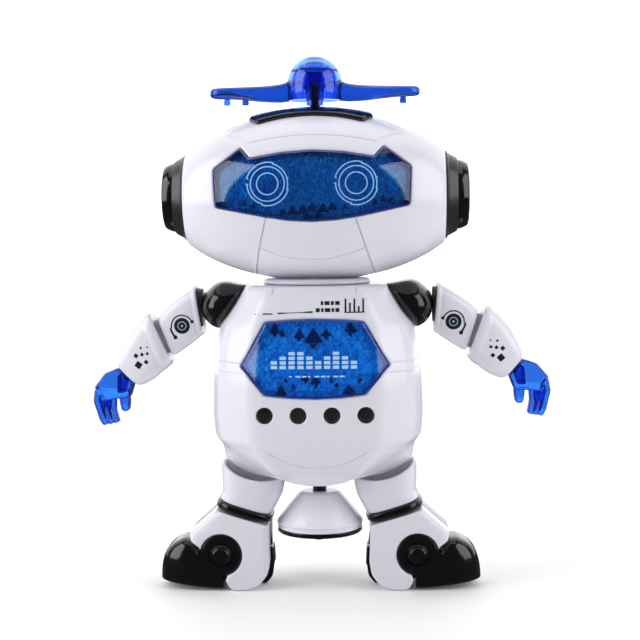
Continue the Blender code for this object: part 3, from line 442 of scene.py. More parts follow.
def patch(name, place, outline, look, facing=(0.0, -1.0, 0.0), holes=(), features=(), spacing=2.0,
          lift=0.0, wall=2.0, back=None, rim_shade_look=None):
    """A closed shell over a region of a plane, lifted onto a surface.

    `place` takes plane points to the surface, `features` are grooves and rounded edges, `back` takes
    plane points to the far side where the piece isn't a shell of even thickness.
    """
    outline = np.asarray(outline, float)
    loops = [outline, *[np.asarray(hole, float) for hole in holes]]
    fixed = np.vstack(loops)
    edges = []
    for loop in loops:
        start = len(edges)
        edges += [(start + i, start + (i + 1) % len(loop)) for i in range(len(loop))]

    def within(points):
        keep = inside(points, outline)
        for hole in loops[1:]:
            keep &= ~inside(points, hole)
        return keep

    def clear_of(points, others, distance):
        points = points[within(points)]
        tree = KDTree(len(others))
        for i, p in enumerate(others):
            tree.insert((p[0], p[1], 0.0), i)
        tree.balance()
        return points[[tree.find((p[0], p[1], 0.0))[2] > distance for p in points]]

    seeds = []
    for line, reach, _ in features:
        line = resample(line, max(0.5, min(reach, 1.5)))
        across = sideways(line)
        for share in (-1.0, -0.7, -0.4, -0.15, 0.15, 0.4, 0.7, 1.0):
            seeds.append(line + across * reach * share)
    cells = {}
    for p in clear_of(np.vstack(seeds), fixed, 0.12):
        cells.setdefault((round(p[0] / SEED_CELL), round(p[1] / SEED_CELL)), p)
    fixed = np.vstack([fixed, np.array(list(cells.values())).reshape(-1, 2)])
    low, high = outline.min(0), outline.max(0)
    rows = []
    for j, v in enumerate(np.arange(low[1], high[1], spacing * 0.87)):
        us = np.arange(low[0] + (j % 2) * spacing / 2.0, high[0], spacing)
        rows.append(np.stack([us, np.full(len(us), v)], 1))
    grid = clear_of(np.vstack(rows), fixed, spacing * 0.55)
    plane, faces = triangulated(np.vstack([fixed, grid]), edges)
    used, faces = np.unique(faces[within(plane[faces].mean(1))], return_inverse=True)
    faces, plane = faces.reshape(-1, 3), plane[used]

    base = place(plane)
    normals = surface_normals(place, plane, facing)
    shift = np.zeros(len(plane))
    for line, _, profile in features:
        shift += profile(line_distance(base, place(resample(line, 0.8))))
    top = base + normals * (shift + lift)[:, None]
    under = back(plane) if back is not None else base + normals * (lift - wall)
    a, b, c = faces[0]
    if np.cross(base[b] - base[a], base[c] - base[a]) @ normals[a] < 0.0:
        faces = faces[:, ::-1]
    count = len(plane)
    walls = [(b, a, a + count, b + count) for a, b in border_of(faces)]
    all_faces = [tuple(int(i) for i in f) for f in [*faces, *(faces[:, ::-1] + count), *walls]]
    still = np.abs(shift) < 1e-6
    loop_normals = [tuple(normals[i]) if still[i] else NO_NORMAL for i in faces.ravel()]
    loop_normals += [NO_NORMAL] * (3 * len(faces) + 4 * len(walls))
    # Triangles near the rim, and the walls, can take a second material: the painted shade of a window's edge.
    looks, face_looks = None, None
    if rim_shade_look is not None:
        looks = [look, rim_shade_look[0]]
        rim = rim_shade_look[1](plane, faces)
        face_looks = [int(r) for r in rim] + [0] * len(faces) + [1] * len(walls)
    return add_mesh(name, np.vstack([top, under]), all_faces, look, normals=loop_normals, looks=looks,
                    face_looks=face_looks)


def turned(name, profile, soft, look, place=Matrix.Identity(4), segments=96):
    """Turn a softened profile of (radius, height) points about local Z; it may start and end on the axis."""
    profile = soften(profile, soft) if soft else profile
    points, rows, faces = [], [], []
    for radius, height in profile:
        start, on_axis = len(points), radius < 1e-9
        rows.append([start] * segments if on_axis else list(range(start, start + segments)))
        for angle in turns(segments)[:1 if on_axis else segments]:
            points.append(place @ Vector((radius * math.cos(angle), radius * math.sin(angle), height)))
    if profile[0][0] > 1e-9:
        rows.append(rows[0])
    for low, high in zip(rows, rows[1:]):
        for i in range(segments):
            j = (i + 1) % segments
            corners = tuple(dict.fromkeys((low[i], low[j], high[j], high[i])))
            if len(corners) > 2:
                faces.append(corners)
    return outward(add_mesh(name, points, faces, look))


def outward(item):
    """Turn the faces of a closed mesh outwards."""
    shape = bmesh.new()
    shape.from_mesh(item.data)
    bmesh.ops.recalc_face_normals(shape, faces=shape.faces)
    shape.to_mesh(item.data)
    shape.free()
    return item


def along(axis, centre=(0.0, 0.0, 0.0)):
    turn = Vector((0.0, 0.0, 1.0)).rotation_difference(Vector(axis))
    return Matrix.Translation(Vector(centre)) @ turn.to_matrix().to_4x4()


def soften(profile, radius):
    """Round the inner corners of a turned profile."""
    result = [profile[0]]
    for before, here, after in zip(profile, profile[1:], profile[2:]):
        before, here, after = Vector(before), Vector(here), Vector(after)
        reach = min(radius, 0.45 * (before - here).length, 0.45 * (after - here).length)
        start = here + (before - here).normalized() * reach
        end = here + (after - here).normalized() * reach
        for t in (0.0, 0.25, 0.5, 0.75, 1.0):
            result.append(tuple(start * (1 - t) ** 2 + here * 2 * t * (1 - t) + end * t ** 2))
    return [*result, profile[-1]]


def loft(name, rings, look, smooth=38.0, caps="fan"):
    """A solid through rings that all have the same number of points; its ends are fans, flat or open."""
    count = len(rings[0])
    points = [p for ring in rings for p in ring]
    last = len(points) - count
    faces = [(a + i, a + (i + 1) % count, a + count + (i + 1) % count, a + count + i)
             for a in range(0, last, count) for i in range(count)]
    if caps == "flat":
        faces += [tuple(range(count - 1, -1, -1)), tuple(range(last, last + count))]
    elif caps == "fan":
        for start in (0, last):
            points.append(np.mean(np.array([tuple(p) for p in points[start:start + count]]), axis=0))
            faces += [(start + i, start + (i + 1) % count, len(points) - 1) for i in range(count)]
    return outward(add_mesh(name, points, faces, look, smooth))


def slab(name, outline, low, high, look, radius=0.8):
    """An outline in (x, z) drawn out along Y, with rounded ends."""
    levels = [(low + radius * (1.0 - math.sin(turn)), radius * (1.0 - math.cos(turn)))
              for turn in (HALF_TURN / 2.0 * k / 4 for k in range(5))]
    levels = levels[::-1] + [(high - (y - low), shrink) for y, shrink in levels]
    rings = [[(x, y, z) for x, z in grown(outline, -shrink)] for y, shrink in levels]
    return loft(name, rings, look, 30.0, "flat")


def combined(target, tool, operation="UNION"):
    """Boolean of two meshes, worked out at a larger scale to keep small faces apart."""
    for item in (target, tool):
        item.data.transform(Matrix.Scale(1.0 / MM, 4))
    step = target.modifiers.new("combine", "BOOLEAN")
    step.operation = operation
    step.solver = "MANIFOLD"
    step.object = tool
    bpy.context.view_layer.update()
    mesh = bpy.data.meshes.new_from_object(target.evaluated_get(bpy.context.evaluated_depsgraph_get()))
    target.modifiers.clear()
    target.data = mesh
    mesh.transform(Matrix.Scale(MM, 4))
    mesh.shade_smooth()
    mesh.set_sharp_from_angle(angle=math.radians(32.0))
    bpy.data.objects.remove(tool, do_unlink=True)


def smooth_rows(rows):
    """Monotone cubic through rows of (height, values...)."""
    table = np.array(rows, float)
    x, y = table[:, 0], table[:, 1:]
    gap = np.diff(x)[:, None]
    slope = np.diff(y, axis=0) / gap
    tangent = np.zeros_like(y)
    same = slope[:-1] * slope[1:] > 0
    total = np.where(same, slope[:-1] + slope[1:], 1.0)
    tangent[1:-1] = np.where(same, 2.0 * slope[:-1] * slope[1:] / total, 0.0)
    tangent[0], tangent[-1] = slope[0], slope[-1]

    def at(height):
        height = np.clip(height, x[0], x[-1])
        i = np.clip(np.searchsorted(x, height, side="right") - 1, 0, len(x) - 2)
        t = ((height - x[i]) / (x[i + 1] - x[i]))[:, None]
        h = (x[i + 1] - x[i])[:, None]
        return ((2 * t ** 3 - 3 * t ** 2 + 1) * y[i] + (t ** 3 - 2 * t ** 2 + t) * h * tangent[i]
                + (-2 * t ** 3 + 3 * t ** 2) * y[i + 1] + (t ** 3 - t ** 2) * h * tangent[i + 1])
    return at


def print_on(name, shapes, target, look, lift=0.10, step=1.0):
    """Thin printed shapes: flat (x, z) outlines laid onto the front of a mesh."""
    tree = BVHTree.FromObject(target, bpy.context.evaluated_depsgraph_get())
    points, faces = [], []
    for loop in shapes:
        loop = np.asarray(loop, float)
        low, high = loop.min(0), loop.max(0)
        axes = np.meshgrid(*[np.arange(low[k] + step / 2, high[k], step) for k in (0, 1)])
        grid = np.stack([axis.ravel() for axis in axes], 1)
        edges = [(i, (i + 1) % len(loop)) for i in range(len(loop))]
        flat, found = triangulated(np.vstack([loop, grid[inside(grid, loop)]]), edges)
        start, count = len(points), len(flat)
        tops, lows = [], []
        for x, z in flat:
            hit, normal, _, _ = tree.ray_cast(Vector((x * MM, -0.2, z * MM)), Vector((0, 1, 0)))
            hit = hit if hit is not None else Vector((x * MM, 0.0, z * MM))
            normal = normal if normal is not None else Vector((0, -1, 0))
            tops.append((hit + normal * lift * MM) / MM)
            lows.append((hit - normal * 0.05 * MM) / MM)
        points += tops + lows
        triangles = []
        for a, b, c in found[inside(flat[found].mean(1), loop)]:
            ahead, beside = flat[b] - flat[a], flat[c] - flat[a]
            triangles.append((a, b, c) if ahead[0] * beside[1] - ahead[1] * beside[0] > 0 else (a, c, b))
        for f in triangles:
            faces += [tuple(start + i for i in f), tuple(start + count + i for i in f[::-1])]
        faces += [(start + b, start + a, start + count + a, start + count + b)
                  for a, b in border_of(triangles)]
    return outward(add_mesh(name, points, faces, look, 60.0))


def stroke(line, width):
    """The outline of a line drawn with a width."""
    line = np.asarray(line, float)
    across = sideways(line) * width / 2.0
    return np.vstack([line + across, (line - across)[::-1]])


def rectangle(x0, z0, x1, z1):
    return np.array([(x0, z0), (x1, z0), (x1, z1), (x0, z1)])


# ---------------------------------------------------------------- head


def head_place(facing):
    """Plane to head surface: distance from the plane's centre is the angle from the front or rear pole."""
    def place(plane):
        u, v = plane[:, 0] / HEAD_AXES[0], plane[:, 1] / HEAD_AXES[2]
        tilt = np.hypot(u, v)
        spread = np.where(tilt > 1e-9, np.sin(tilt) / np.maximum(tilt, 1e-9), 1.0)
        return np.stack([HEAD_AXES[0] * spread * u, facing * HEAD_AXES[1] * np.cos(tilt),
                         HEAD_Z + HEAD_AXES[2] * spread * v], 1)
    return place


def head_plane(points):
    """The (x, z) of points on the head to the plane."""
    points = np.asarray(points, float)
    x, z = points[:, 0] / HEAD_AXES[0], (points[:, 1] - HEAD_Z) / HEAD_AXES[2]
    size = np.minimum(np.hypot(x, z), 1.0)
    grow = np.where(size > 1e-9, np.arcsin(size) / np.maximum(size, 1e-9), 1.0)
    return np.stack([HEAD_AXES[0] * x * grow, HEAD_AXES[2] * z * grow], 1)


def ball_reach(a, b):
    """How far a unit ball reaches over a point of its middle plane."""
    return np.sqrt(np.maximum(1.0 - a ** 2 - b ** 2, 0.0))


def head_front(offset):
    """(x, z) straight to the head's front, at an offset from its surface."""
    wide, deep, high = HEAD_AXES + offset

    def place(plane):
        x, z = plane.T
        return np.stack([x, -deep * ball_reach(x / wide, (z - HEAD_Z) / high), z], 1)
    return place


def head_top(plane):
    x, y = plane.T
    return np.stack([x, y, HEAD_Z + HEAD_AXES[2] * ball_reach(x / HEAD_AXES[0], y / HEAD_AXES[1])], 1)


def half_head_outline():
    """The split line and the two flat ends, in the plane."""
    split = math.radians(89.8)
    end = HEAD_END_X / HEAD_AXES[0]
    corner = math.acos(end / math.sin(split))
    points = []
    for start, finish in ((corner, HALF_TURN - corner), (HALF_TURN + corner, 2 * HALF_TURN - corner)):
        for angle in np.linspace(start, finish, 90):
            points.append((math.cos(angle) * split, math.sin(angle) * split))
        side = -1.0 if finish < HALF_TURN else 1.0
        angles = np.linspace(corner, -corner, 40)[1:-1] * (1.0 if side < 0 else -1.0)
        for angle in angles:
            tilt = math.asin(min(1.0, end / math.cos(angle)))
            points.append((side * math.cos(angle) * tilt, math.sin(angle) * tilt))
    return np.array(points) * (HEAD_AXES[0], HEAD_AXES[2])


def build_head():
    outline = half_head_outline()
    visor = rounded(VISOR, [0, 0, 0.7, 0.8, 1.6, 1.6, 0, 0, 0, 0, 0, 1.6, 1.6, 0.8, 0.7, 0], 1.0)
    opening = head_plane(grown(visor, 0.35))
    split = edge(closed(outline), 0.5)
    features = [split, edge(closed(opening), 0.8, 0.35)]
    for line, half, depth in (
            (((16.6, 155.4), (20.1, 144.4), (24.6, 130.8)), 0.5, 0.85),
            (((-18.0, 155.4), (-21.0, 144.4), (-24.6, 130.8)), 0.5, 0.85),
            (((-20.9, 142.9), (-0.6, 137.9), (20.9, 142.9)), 0.42, 0.5),
            (((-24.8, 184.5), (0.0, 187.3), (24.8, 184.5)), 0.38, 0.35)):
        features.append(groove(head_plane(arc3(*line)), half, depth))
    for side, _ in SIDES:
        temple = head_plane([(side * 24.8, 184.5), (side * 36.5, 189.2), (side * 26.5, 193.6)])
        features.append(groove(resample(temple, 1.0), 0.5, 0.16))
    front = patch("head_front_skin", head_place(-1.0), outline, "white", holes=[opening],
                  features=features, wall=2.2)
    stand_for(front, "head", "white_shell", "head_front_shell")

    wells = [head_plane(circle((side * SCREW_X, z), 2.3, 24)) for side, _ in SIDES for z in SCREW_ZS]
    jaw = head_plane(arc3((-30.0, 150.0), (0.0, 141.5), (30.0, 150.0)))
    rear = patch("head_rear_skin", head_place(1.0), outline, "white", facing=(0, 1, 0), holes=wells,
                 features=[split, groove(jaw, 0.42, 0.5)] + [edge(closed(w), 0.5) for w in wells],
                 wall=2.2)
    stand_for(rear, "head", "white_shell", "head_rear_shell")
    for side, word in SIDES:
        for z in SCREW_ZS:
            up = z - HEAD_Z
            y = 42.0 * math.sqrt(1 - (SCREW_X / 64) ** 2 - (up / 35.0) ** 2)
            place = along((side * 0.33, 0.9, up / 60.0), (side * 31.9, y - 3.6, HEAD_Z + up * 0.96))
            screw = [(0.0, 0.0), (2.2, 0.0), (2.2, 0.9), (0.5, 0.9), (0.5, 0.5), (0.0, 0.5)]
            stand_for(turned("head_screw_%s_%d" % (word, z), screw, 0.2, "steel", place, 32), "head", "steel")
    for side, word in SIDES:
        build_head_end(side, word)
        build_ear(side, word)
    build_face(visor)
    build_crest()
    seat, lip = TORSO_TOP + 0.2, TORSO_TOP + 0.7
    collar = turned("neck_ring", [
        (8.4, 116.6), (10.4, 116.6), (10.4, 118.6), (8.2, 118.6), (8.2, seat), (21.9, seat), (22.5, lip),
        (22.5, 128.8), (21.0, 129.6), (12.0, 129.8), (12.0, 134.0), (8.4, 134.0)], 0.3, "white")
    stand_for(collar, "head", "white_shell", "neck_collar")


def grown(loop, distance):
    """A closed outline moved outwards by a distance."""
    loop = np.asarray(loop, float)
    area = np.sum(loop[:, 0] * np.roll(loop[:, 1], -1) - np.roll(loop[:, 0], -1) * loop[:, 1])
    slope = np.roll(loop, -1, 0) - np.roll(loop, 1, 0)
    slope /= np.maximum(np.linalg.norm(slope, axis=1, keepdims=True), 1e-9)
    across = np.stack([slope[:, 1], -slope[:, 0]], 1) * (1.0 if area > 0 else -1.0)
    return loop + across * distance


def build_head_end(side, word):
    """The flat white end of the head around the ear."""
    shrink = math.sqrt(1.0 - (HEAD_END_X / HEAD_AXES[0]) ** 2)
    deep, high = HEAD_AXES[1] * shrink, HEAD_AXES[2] * shrink
    rings = []
    for x, a, b in ((50.4, EAR_HOLE_R, EAR_HOLE_R), (52.9, EAR_HOLE_R, EAR_HOLE_R),
                    (53.0, deep - 0.5, high - 0.5), (52.85, deep - 0.1, high - 0.1),
                    (52.4, deep - 0.02, high - 0.02), (50.4, deep, high)):
        rings.append([(side * x, a * math.cos(turn), HEAD_Z + b * math.sin(turn)) for turn in turns(96)])
    item = loft(word + "_head_end", rings + rings[:1], "white", caps="open")
    stand_for(item, "head", "white_shell")


def build_ear(side, word):
    place = along((side, 0, 0), (0, 0, HEAD_Z))
    ring = turned(word + "_ear_flange", [
        (11.2, 50.0), (13.2, 50.0), (13.2, 53.2), (18.1, 53.2), (18.1, 54.1), (17.2, 54.5), (15.2, 58.2),
        (14.7, 58.4), (14.3, 57.9), (11.2, 57.7)], 0.3, "satin", place)
    stand_for(ring, "head", "black_gloss", word + "_ear_ring")
    cap = turned(word + "_ear_drum", [
        (0.0, 54.0), (10.9, 54.0), (10.9, 58.0), (14.5, 58.0), (14.0, 60.4), (12.9, 62.6), (11.6, 63.1),
        (9.6, 63.2), (9.2, 62.5), (8.6, 62.5), (8.2, 63.0), (0.0, 63.3)], 0.5, "black", place)
    stand_for(cap, "head", "black_gloss", word + "_ear_cap")


def rim_shade_mask(loop, width):
    """Marks the triangles of a patch that lie within a width of its outline, for the painted shade on a
    window's rounded edge.
    """
    line = closed(loop)
    flat = np.column_stack([line, np.zeros(len(line))])

    def marks(plane, faces):
        middle = plane[faces].mean(1)
        return line_distance(np.column_stack([middle, np.zeros(len(middle))]), flat) < width
    return marks


def build_face(visor):
    # The lens's rounded rim takes the painted edge shade.
    pane = patch("visor_lens", head_front(-0.2), visor, "lens", features=[edge(closed(visor), 1.0, 0.45)],
                 spacing=1.6, lift=0.1, wall=1.8, rim_shade_look=("lens_rim_shade", rim_shade_mask(visor, 0.75)))
    stand_for(pane, "head", "clear_blue", "visor")
    shapes = []
    for side, _ in SIDES:
        centre = (side * EYE_X, EYE_Z)
        spans = [(radius, a, a + 60.0) for radius in (4.2, 6.7) for a in range(0, 360, 60)]
        spans += [(8.0, 15, 75), (8.45, 75, 165), (8.0, 180, 255), (8.45, 255, 345), (8.0, 345, 375)]
        shapes += [stroke(circle(centre, radius, 16, start, end), EYE_LINE) for radius, start, end in spans]
        for turn in np.radians((15, 75, 165, 180, 255, 345)):
            shapes.append(stroke([(centre[0] + d * math.cos(turn), centre[1] + d * math.sin(turn))
                                  for d in (7.8, 8.65)], EYE_LINE))
    stand_for(print_on("eye_rings", shapes, pane, "print_blue", 0.12), "head", "clear_blue")
    facets = diamond_field("face_prisms", head_front(-2.9), grown(visor, 5.0), 1.5, 2.4, 0.7,
                           ("face_facets", "face_facets_low", "face_facets_high"), 11)
    stand_for(facets, "head", "reflector", "face_reflector")
    darts = [dart(*mark) for mark in (
        (-11.6, 157.0, 1.4), (-7.6, 157.6, 1.9), (-3.8, 158.0, 2.1), (0.2, 158.6, 2.0), (4.0, 158.2, 2.1),
        (7.8, 158.8, 1.9), (-1.8, 155.9, 1.6), (2.2, 156.0, 1.6), (12.6, 159.0, 1.0), (24.6, 160.6, 1.2),
        (27.6, 161.6, 1.4), (30.8, 161.0, 1.3), (-27.0, 160.6, 1.2), (-23.4, 159.6, 1.0))]
    stand_for(print_on("face_dark_prisms", darts, facets, "facets_dark", 0.5), "head", "reflector")


def diamond_field(name, place, outline, wide, high, depth, looks, seed):
    """A plate covered in small diamond-shaped prisms, with slightly uneven tips."""
    draw = np.random.default_rng(seed)
    low, top = outline.min(0), outline.max(0)
    columns, rows = int((top[0] - low[0]) / wide) + 2, int((top[1] - low[1]) / high) + 2
    plane, index, faces = [], {}, []

    def corner(i, j):
        if (i, j) not in index:
            index[i, j] = len(plane)
            plane.append((low[0] + i * wide / 2.0, low[1] + j * high / 2.0, 0.0))
        return index[i, j]

    for j in range(2 * rows):
        for i in range(j % 2, 2 * columns, 2):
            x, z = low[0] + i * wide / 2.0, low[1] + j * high / 2.0
            if not inside(np.array([(x, z)]), outline)[0]:
                continue
            corners = [corner(i - 1, j), corner(i, j - 1), corner(i + 1, j), corner(i, j + 1)]
            tip = len(plane)
            shift = draw.uniform(-0.25, 0.25, 2)
            plane.append((x + shift[0] * wide, z + shift[1] * high, depth * draw.uniform(0.5, 1.3)))
            faces += [(corners[k], corners[(k + 1) % 4], tip) for k in range(4)]
    shades = [int(k) for k in draw.choice(3, len(faces), p=(0.5, 0.3, 0.2))]
    plane = np.array(plane)
    count = len(plane)
    base = place(plane[:, :2])
    normals = surface_normals(place, plane[:, :2], (0, -1, 0))
    points = np.vstack([base + normals * plane[:, 2:3], base - normals * 1.2])
    both = faces + [tuple(count + i for i in f[::-1]) for f in faces]
    both += [(b, a, count + a, count + b) for a, b in border_of(faces)]
    shades += [0] * (len(both) - len(shades))
    return outward(add_mesh(name, points, both, looks[0], 5.0, looks=looks, face_looks=shades))


def dart(x, z, size):
    """A small triangle that points up."""
    return np.array([(x - size, z - size * 0.7), (x + size, z - size * 0.7), (x, z + size)])


def build_crest():
    outline = rounded(CREST, 1.6, 1.2)
    plate = patch("crest_plate_skin", head_top, outline, "black", facing=(0, 0, 1),
                  features=[edge(closed(outline), 1.5, 0.8)], lift=1.8, wall=2.8, spacing=1.8)
    stand_for(plate, "head", "black_gloss", "crest_plate")


# ---------------------------------------------------------------- rotor


def build_rotor():
    """A hollow round hub on a shaft, with a blade to each side."""
    dome_z, hub_r, inner_r, low = 209.65, 11.35, 9.75, 202.7
    profile = [(0.0, 216.2), (4.1, 216.2)]
    profile += [(inner_r * math.cos(a), dome_z - 0.4 + inner_r * math.sin(a))
                for a in np.radians(range(66, -1, -6))]
    profile += [(inner_r, low), (hub_r - 0.3, low), (hub_r, low + 0.5)]
    profile += [(hub_r * math.cos(a), dome_z + hub_r * math.sin(a)) for a in np.radians(range(0, 90, 6))]
    profile += [(0.0, dome_z + hub_r)]
    stand_for(turned("propeller_hub", profile, 0.0, "hub_blue"), "rotor", "clear_blue", "propeller")
    core = [(2.05, low), (3.9, low), (3.9, 208.0), (4.6, 208.6), (4.6, 209.8), (3.9, 210.4), (3.9, 213.4),
            (2.05, 213.4)]
    stand_for(turned("propeller_core", core, 0.3, "deep_blue", segments=48), "rotor", "clear_blue")
    band = [(6.2, 209.0), (8.6, 209.0), (8.6, 214.2), (7.4, 215.4), (6.2, 215.4)]
    stand_for(turned("propeller_band", band, 0.3, "deep_blue", segments=64), "rotor", "clear_blue")
    peg_profile = [(0.0, 201.2), (1.3, 201.2), (1.5, 202.2), (1.2, 203.2), (1.2, 205.6), (0.0, 205.6)]
    for side, word in SIDES:
        wing = blade(word + "_blade", side)
        for radius in PEG_RADII[side]:
            place = Matrix.Translation((side * radius, 0.0, 0.0))
            combined(wing, turned("peg", peg_profile, 0.5, "blue", place, 32))
        stand_for(wing, "rotor", "clear_blue")
    sleeve = [(2.6, 200.7), (3.6, 200.7), (3.6, 203.4), (4.6, 203.9), (4.6, 204.6), (2.6, 204.6)]
    stand_for(turned("propeller_sleeve", sleeve, 0.2, "hub_blue", segments=48), "rotor", "clear_blue")
    for side, _ in SIDES:
        rib = rounded([(side * 4.2, 203.4), (side * 9.0, 203.4), (side * 9.0, 209.6), (side * 6.4, 210.6),
                       (side * 4.2, 210.6)], 0.5, 0.8)
        rib = slab("propeller_rib_%d" % (side + 1), rib, -0.6, 0.6, "deep_blue", 0.2)
        stand_for(rib, "rotor", "clear_blue")
    post = [(0.0, 194.4), (2.9, 194.4), (2.9, 200.2), (1.9, 200.5), (1.9, 210.0), (0.0, 210.0)]
    stand_for(turned("rotor_post", post, 0.25, "black", segments=48), "rotor", "dark_plastic", "rotor_shaft")


def blade(name, side):
    # distance out, half chord, underside, top
    at = smooth_rows([
        (10.0, 4.6, 202.6, 211.4), (11.4, 4.8, 202.4, 210.6), (14.0, 5.2, 202.1, 209.7),
        (20.0, 5.8, 202.3, 209.0), (27.0, 6.2, 203.0, 208.7), (35.0, 6.2, 203.7, 208.5),
        (39.5, 5.7, 203.8, 208.4), (41.6, 4.6, 204.0, 208.2), (42.9, 3.0, 204.5, 207.7),
        (43.4, 1.4, 205.3, 206.9)])
    lean, lift = math.cos(BLADE_PITCH), math.sin(BLADE_PITCH)
    rings = []
    for radius in np.concatenate([np.linspace(10.0, 39.5, 34), np.linspace(40.2, 43.4, 10)]):
        half, low, high = at(np.array([radius]))[0]
        ring = []
        for turn in turns(32):
            chord = half * curved(math.cos(turn), 0.7)
            rise = (high - low) / 2.0 * curved(math.sin(turn), 0.7)
            ring.append((side * radius, side * (chord * lean - rise * lift),
                         (low + high) / 2.0 + (chord * lift + rise * lean)))
        rings.append(ring)
    return loft(name, rings, "blade_blue")


# ---------------------------------------------------------------- torso

TORSO_AT = smooth_rows(TORSO_ROWS)
CORNER_SHARE = (0.0, 0.16, 0.26, 0.42)


def torso_place(facing):
    """Plane to torso surface: across is the way round the section, up is the height, then over the top."""
    def place(plane):
        t = np.minimum(np.abs(plane[:, 0]) / TORSO_SPAN, 4.0)
        side = np.sign(plane[:, 0])
        v = plane[:, 1]
        bend = TORSO_TOP - TORSO_EDGE
        turn = np.clip((v - bend) / TORSO_EDGE, 0.0, HALF_TURN / 2.0)
        z = np.where(v > bend, bend + TORSO_EDGE * np.sin(turn), v)
        inset = TORSO_EDGE * (1.0 - np.cos(turn))
        flat = np.clip((v - bend - TORSO_EDGE * HALF_TURN / 2.0) / 26.0, 0.0, 0.95)
        panel, front, corner, corner_y, width = TORSO_AT(z).T
        front, width = front - inset, width - inset
        corner, corner_y, panel = corner - 0.8 * inset, corner_y - 0.6 * inset, panel - 0.3 * inset
        zero = np.zeros_like(panel)
        nodes = np.stack([np.stack([zero, -front], 1), np.stack([panel, PANEL_BOW - front], 1),
                          np.stack([corner, -corner_y], 1), np.stack([width, -0.45 * corner_y], 1),
                          np.stack([width, zero], 1)], 1)
        rows = np.arange(len(t))
        j = np.clip(t.astype(int), 0, 3)
        share = (t - j)[:, None]
        xy = nodes[rows, j] * (1.0 - share) + nodes[rows, j + 1] * share
        first = j == 0
        xy[first, 1] = (-front + PANEL_BOW * share[:, 0] ** 2)[first]
        for i in (1, 2, 3):
            c = CORNER_SHARE[i]
            here = np.abs(t - i) < c
            s = ((t - i + c) / (2.0 * c))[:, None]
            a = nodes[:, i] * (1 - c) + nodes[:, i - 1] * c
            if i == 1:
                a[:, 1] = -front + PANEL_BOW * (1 - c) ** 2
            b = nodes[:, i] * (1 - c) + nodes[:, i + 1] * c
            round_xy = a * (1 - s) ** 2 + nodes[:, i] * 2 * s * (1 - s) + b * s ** 2
            xy[here] = round_xy[here]
        xy *= (1.0 - flat)[:, None]
        return np.stack([side * xy[:, 0], -facing * xy[:, 1], z], 1)
    return place


def torso_plane(points):
    """The (x, z) of points on the torso to the plane."""
    points = np.asarray(points, float)
    low, high = np.zeros(len(points)), np.full(len(points), 4.0)
    place = torso_place(-1.0)
    for _ in range(30):
        middle = (low + high) / 2.0
        x = place(np.stack([middle * TORSO_SPAN, points[:, 1]], 1))[:, 0]
        less = x < np.abs(points[:, 0])
        low, high = np.where(less, middle, low), np.where(less, high, middle)
    return np.stack([np.sign(points[:, 0]) * low * TORSO_SPAN, points[:, 1]], 1)


def hip_line():
    """The lower edge in (x, z), from the side to the middle: round the hip, then the belly block."""
    hip = [(x, HIP[1] - math.sqrt(HIP_R ** 2 - (x - HIP[0]) ** 2)) for x in np.linspace(37.4, 22.0, 30)]
    hip += [(x, HIP[1] - HIP_R) for x in np.linspace(21.4, 13.3, 8)]
    block = [(x, 44.7 + 2.4 * (x / 12.8) ** 2) for x in np.linspace(12.8, 0.0, 16)]
    return np.array(hip + block)


def torso_outline():
    side, low = 4.0 * TORSO_SPAN - 0.1, 55.4
    right = np.vstack([[(side, low)], torso_plane(hip_line())])
    bottom = np.vstack([right, right[::-1][1:] * (-1.0, 1.0)])
    top = TORSO_TOP + 22.0
    rest = resample([(-side, low), (-side, TORSO_TOP), (-side, top), (side, top), (side, TORSO_TOP),
                     (side, low)], 1.6)
    return np.vstack([bottom, rest[1:-1]])


def window_place(offset):
    """The chest window's own bulge over the torso front."""
    def place(plane):
        front = TORSO_AT(plane[:, 1])[:, 1]
        across = np.abs(plane[:, 0])
        past = np.maximum(across - 19.2, 0.0)
        fall = 0.5 * np.minimum(across / 19.2, 1.0) ** 2 + 0.36 * past + 0.0085 * past ** 2
        return np.stack([plane[:, 0], -(front + 0.5 - fall) + offset, plane[:, 1]], 1)
    return place


def build_torso():
    outline = torso_outline()
    chest = rounded(CHEST, [1.2, 1.2, 0, 0, 0, 1.2, 1.2, 1.2, 0, 0, 0, 1.2], 1.0)
    opening = torso_plane(grown(chest, 0.35))
    ports = [torso_plane(circle((x, PORT_Z), PORT_R + 0.25, 36)) for x in PORT_XS]
    belly = torso_plane(arc3((-18.4, 60.4), (0.3, 54.0), (18.6, 60.0)))
    rim = edge(closed(outline), 0.4)
    features = [rim, edge(closed(opening), 0.9, 0.4)]
    features += [edge(closed(port), 0.5) for port in ports] + [groove(belly, 0.4, 0.4)]
    for side, _ in SIDES:
        for start, end in ((97.0, 97.0), (93.0, 93.4)):
            seam = [torso_plane([(side * 27.0, start)])[0], (side * (4.0 * TORSO_SPAN - 1.0), end)]
            features.append(groove(resample(seam, 1.5), 0.45, 0.28))
    for side, _ in SIDES:
        tab = torso_plane([(side * 16.6, 125.2), (side * 16.6, 127.0)])
        features.append(groove(resample(tab, 0.6), 0.4, 0.5))
    front = patch("torso_front_skin", torso_place(-1.0), outline, "white", holes=[opening, *ports],
                  features=features, wall=2.0)
    stand_for(front, "torso", "white_shell", "torso_front_shell")

    door = rounded(rectangle(-26.0, 64.0, 26.0, 108.0), 2.0, 1.2)
    door_hole = torso_plane(grown(door, 0.1))
    slot = torso_plane(rounded(rectangle(-6.6, 113.3, 6.6, 118.7), 1.0, 0.8))
    wells = [torso_plane(circle((side * 33.0, z), 2.2, 24)) for side, _ in SIDES for z in (68.0, 104.0)]
    rear = patch("torso_rear_skin", torso_place(1.0), outline, "white", facing=(0, 1, 0),
                 holes=[door_hole, slot, *wells], wall=2.0,
                 features=[rim, edge(closed(door_hole), 0.6),
                           *(edge(closed(hole), 0.5) for hole in (slot, *wells))])
    stand_for(rear, "torso", "white_shell", "torso_rear_shell")
    build_torso_floor()
    build_door(door)
    build_switch()
    build_window(chest)
    build_ports()
    build_chest_marks(front)
    for side, word in SIDES:
        build_shoulder(side, word)


